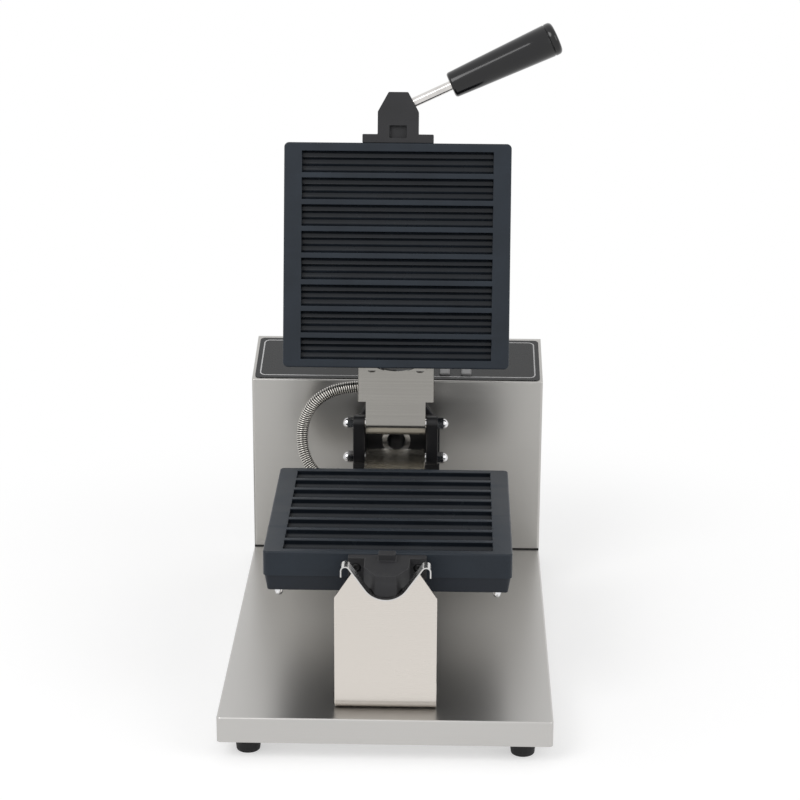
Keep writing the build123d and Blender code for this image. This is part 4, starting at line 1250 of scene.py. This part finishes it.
@dataclass
class Mould:
    """One mould: plate, cover, heater, nose and leaf."""

    side: Side
    gap: float = 0.3 * MM
    plate: float = 24.0 * MM
    cover: float = 16.0 * MM
    rim_round: float = 0.75 * MM
    outline_round: float = 1.6 * MM
    cover_round: float = 1.2 * MM
    nose_round: float = 0.8 * MM
    groove_start: float = 0.5 * MM
    outline_zone: Tuple[float, float] = (107.0 * MM, 110.0 * MM)
    cover_zone: Tuple[float, float] = (108.5 * MM, 107.5 * MM)
    side_zone: Tuple[float, float] = (100.0 * MM, 109.0 * MM)

    def build(self) -> None:
        """Dress the plate, the cover, the nose and the leaf."""
        self.dress_plate()
        self.dress_cover()
        self.dress_nose()
        self.dress_leaf()
        word = self.side.word
        carry_over({
            f"{word}_heater": SHEATH,
            f"{word}_sensor": SHEATH,
            f"{word}_bush": BRONZE,
        })

    def closed(self, piece: Piece) -> Piece:
        """Turn a piece of the upper mould back to its closed place."""
        return piece.turn(PLACES.opened.inverted()) if self.side is Side.UPPER else piece

    def stood(self, piece: Piece) -> Piece:
        """Turn a closed piece to where this mould stands."""
        return piece.turn(PLACES.opened) if self.side is Side.UPPER else piece

    def outward(self, direction: Point) -> Point:
        """Direction on the closed mould, as it is where the mould stands."""
        vector = Vector(direction)
        if self.side is Side.UPPER:
            vector = PLACES.opened.to_3x3() @ vector
        return tuple(vector)

    def on_face(self, edge: bmesh.types.BMEdge, height: float) -> bool:
        """Whether an edge lies at a height above the parting plane."""
        level = PLACES.axis_z + self.side.value * height
        return all(abs(vertex.co.z - level) < 0.03 * MM for vertex in edge.verts)

    def on_outline(self, edge: bmesh.types.BMEdge) -> bool:
        """Whether an edge runs near the outline of the plate."""
        place = middle(edge)
        return self.beyond(place, *self.outline_zone)

    def dress_plate(self) -> None:
        """Mould plate with rounded groove rims and outline, and painted shade on the faces deep in the
        grooves.
        """
        node = f"{self.side.word}_mould_plate"
        piece = self.closed(from_cad(node, MOULD_COAT, self.side.body))
        face = self.gap
        piece.round_edges(
            lambda edge: self.on_face(edge, face) and self.on_outline(edge) and sharper(edge, 40),
            self.outline_round, 4,
        )
        piece.round_edges(
            lambda edge: self.on_face(edge, face) and not self.on_outline(edge) and sharper(edge, 40),
            self.rim_round, 3,
        )
        # Faces deep in the grooves take the second, darker material: painted shade in the recesses.
        sunk = PLACES.axis_z + self.side.value * (face + self.groove_start)
        for polygon in piece.mesh.faces:
            place = polygon.calc_center_median()
            in_groove_shade = self.side.value * (place.z - sunk) > 0 and not self.at_outside(place)
            polygon.material_index = 1 if in_groove_shade else 0
        made = self.stood(piece).finished([node])
        made.data.materials.append(GROOVE_SHADE_COAT.material())
        weigh_normals(made)

    def at_outside(self, place: Vector) -> bool:
        """Whether a place lies on the sides or the back of the plate."""
        back = PLACES.axis_z + self.side.value * (self.gap + self.plate - 1.0 * MM)
        behind = self.side.value * (place.z - back) > 0
        return behind or self.beyond(place, *self.side_zone)

    def beyond(self, place: Vector, half_width: float, half_length: float) -> bool:
        """Whether a place lies outside a rectangle about the middle of the mould."""
        return abs(place.x) > half_width or abs(place.y - PLACES.mould_middle) > half_length

    def dress_cover(self) -> None:
        """Cover with its pressed edge and its screws."""
        node = f"{self.side.word}_cover"
        piece = self.closed(from_cad(node, COVER_COAT, self.side.body))
        top = self.gap + self.plate + self.cover
        piece.round_edges(
            lambda edge: self.on_face(edge, top) and self.near_cover_edge(edge) and sharper(edge, 40),
            self.cover_round, 4,
        )
        weigh_normals(self.stood(piece).finished([node]))
        out = self.outward((0.0, 0.0, float(self.side.value)))
        SocketScrews().dress(f"{self.side.word}_cover_screws", self.side.body, out)

    def near_cover_edge(self, edge: bmesh.types.BMEdge) -> bool:
        """Whether an edge runs near the outline of the cover's face."""
        place = middle(edge)
        return self.beyond(place, *self.cover_zone)

    def dress_nose(self) -> None:
        """Nose casting with soft edges, and its screws."""
        node = f"{self.side.word}_lug"
        piece = self.closed(from_cad(node, NOSE_CASTING, self.side.body))
        piece.round_edges(
            lambda edge: sharper(edge, 24) and edge.calc_length() > 1.4 * MM,
            self.nose_round, 2,
        )
        weigh_normals(self.stood(piece).finished([node]))
        out = self.outward((0.0, -1.0, 0.0))
        SocketScrews().dress(f"{self.side.word}_lug_screws", self.side.body, out, BLACKED)

    def dress_leaf(self) -> None:
        """Leaf of the hinge, and its screws."""
        node = f"{self.side.word}_leaf"
        # The upper leaf takes the darker copy of the stainless: painted shade.
        finish = LEAF_STEEL if self.side is Side.UPPER else LOWER_LEAF_STEEL
        dress(node, finish, self.side.body)
        out = self.outward((0.0, 1.0, 0.0))
        SocketScrews().dress(f"{self.side.word}_leaf_screws", self.side.body, out, LEAF_SCREW)


@dataclass
class Handle:
    """Steel rod and tapered grip on the nose of the upper mould."""

    rod_free: float = 42.0 * MM
    length: float = 119.0 * MM
    near_radius: float = 13.5 * MM
    far_radius: float = 17.5 * MM
    rod_radius: float = 5.0 * MM
    groove_place: float = 110.5 * MM
    groove_depth: float = 0.7 * MM
    near_shoulder: float = 3.0 * MM
    far_shoulder: float = 4.4 * MM
    steps: int = 72
    origin: Point = (15.5 * MM, -224.75 * MM, 193.0 * MM)
    dip: float = math.radians(25.0)

    def build(self) -> None:
        """Make the grip and dress the rod."""
        dress("handle_rod", ROD_STEEL, Body.UPPER, weighed=False)
        self.grip()

    def pose(self) -> Matrix:
        """Frame of the handle, with Z along the rod, where the mould stands open."""
        along = Vector((math.cos(self.dip), -math.sin(self.dip), 0.0))
        upright = Vector((0.0, 0.0, 1.0))
        beside = along.cross(upright)
        pose = Matrix.Identity(4)
        for row in range(3):
            pose[row][0] = upright[row]
            pose[row][1] = beside[row]
            pose[row][2] = along[row]
            pose[row][3] = self.origin[row]
        return PLACES.opened @ pose

    def radius_at(self, place: float) -> float:
        """Radius of the taper at a distance from the near end."""
        return self.near_radius + (self.far_radius - self.near_radius) * place / self.length

    def grip(self) -> None:
        """Tapered grip with rounded shoulders and the seam of its end cap."""
        piece = Piece("handle_grip_turned", GRIP_BLACK, Body.UPPER)
        start, end = self.rod_free, self.rod_free + self.length
        shoulder = self.near_shoulder
        profile = [
            (self.rod_radius, start + 2.0 * MM),
            (self.rod_radius, start),
            (self.near_radius - shoulder, start),
        ]
        for step in range(1, 7):
            angle = math.pi / 2 * step / 6
            profile.append((
                self.near_radius - shoulder + shoulder * math.sin(angle),
                start + shoulder - shoulder * math.cos(angle),
            ))
        for share in (0.2, 0.4, 0.6, 0.8):
            place = self.groove_place * share
            profile.append((self.radius_at(place), start + place))
        for offset, depth in ((-0.9, 0.0), (-0.5, 0.35), (-0.15, 1.0), (0.15, 1.0), (0.5, 0.35), (0.9, 0.0)):
            place = self.groove_place + offset * MM
            profile.append((self.radius_at(place) - self.groove_depth * depth, start + place))
        shoulder = self.far_shoulder
        for step in range(0, 8):
            angle = math.pi / 2 * step / 7
            profile.append((
                self.far_radius - 0.25 * MM - shoulder + shoulder * math.cos(angle),
                end - shoulder + shoulder * math.sin(angle),
            ))
        profile += [(8.0 * MM, end - 0.02 * MM), (7.4 * MM, end - 0.5 * MM), (0.0, end - 0.5 * MM)]
        piece.spun(profile, self.steps)
        piece.turn(self.pose())
        piece.finished(["handle_grip"], 40.0)


def main() -> None:
    """Build every sub-assembly in order."""
    logging.basicConfig(level=logging.INFO, format="%(name)s: %(message)s")
    bpy.context.scene.view_settings.view_transform = "Standard"
    assemblies = [
        Studio(),
        ArmouredHose(),
        BaseTray(),
        FrontStand(),
        ControlBox(),
        RotorDrive(),
        Mould(Side.LOWER),
        Mould(Side.UPPER),
        Handle(),
    ]
    for assembly in assemblies:
        assembly.build()
        log.info("built %s", type(assembly).__name__)


if __name__ == "__main__":
    main()
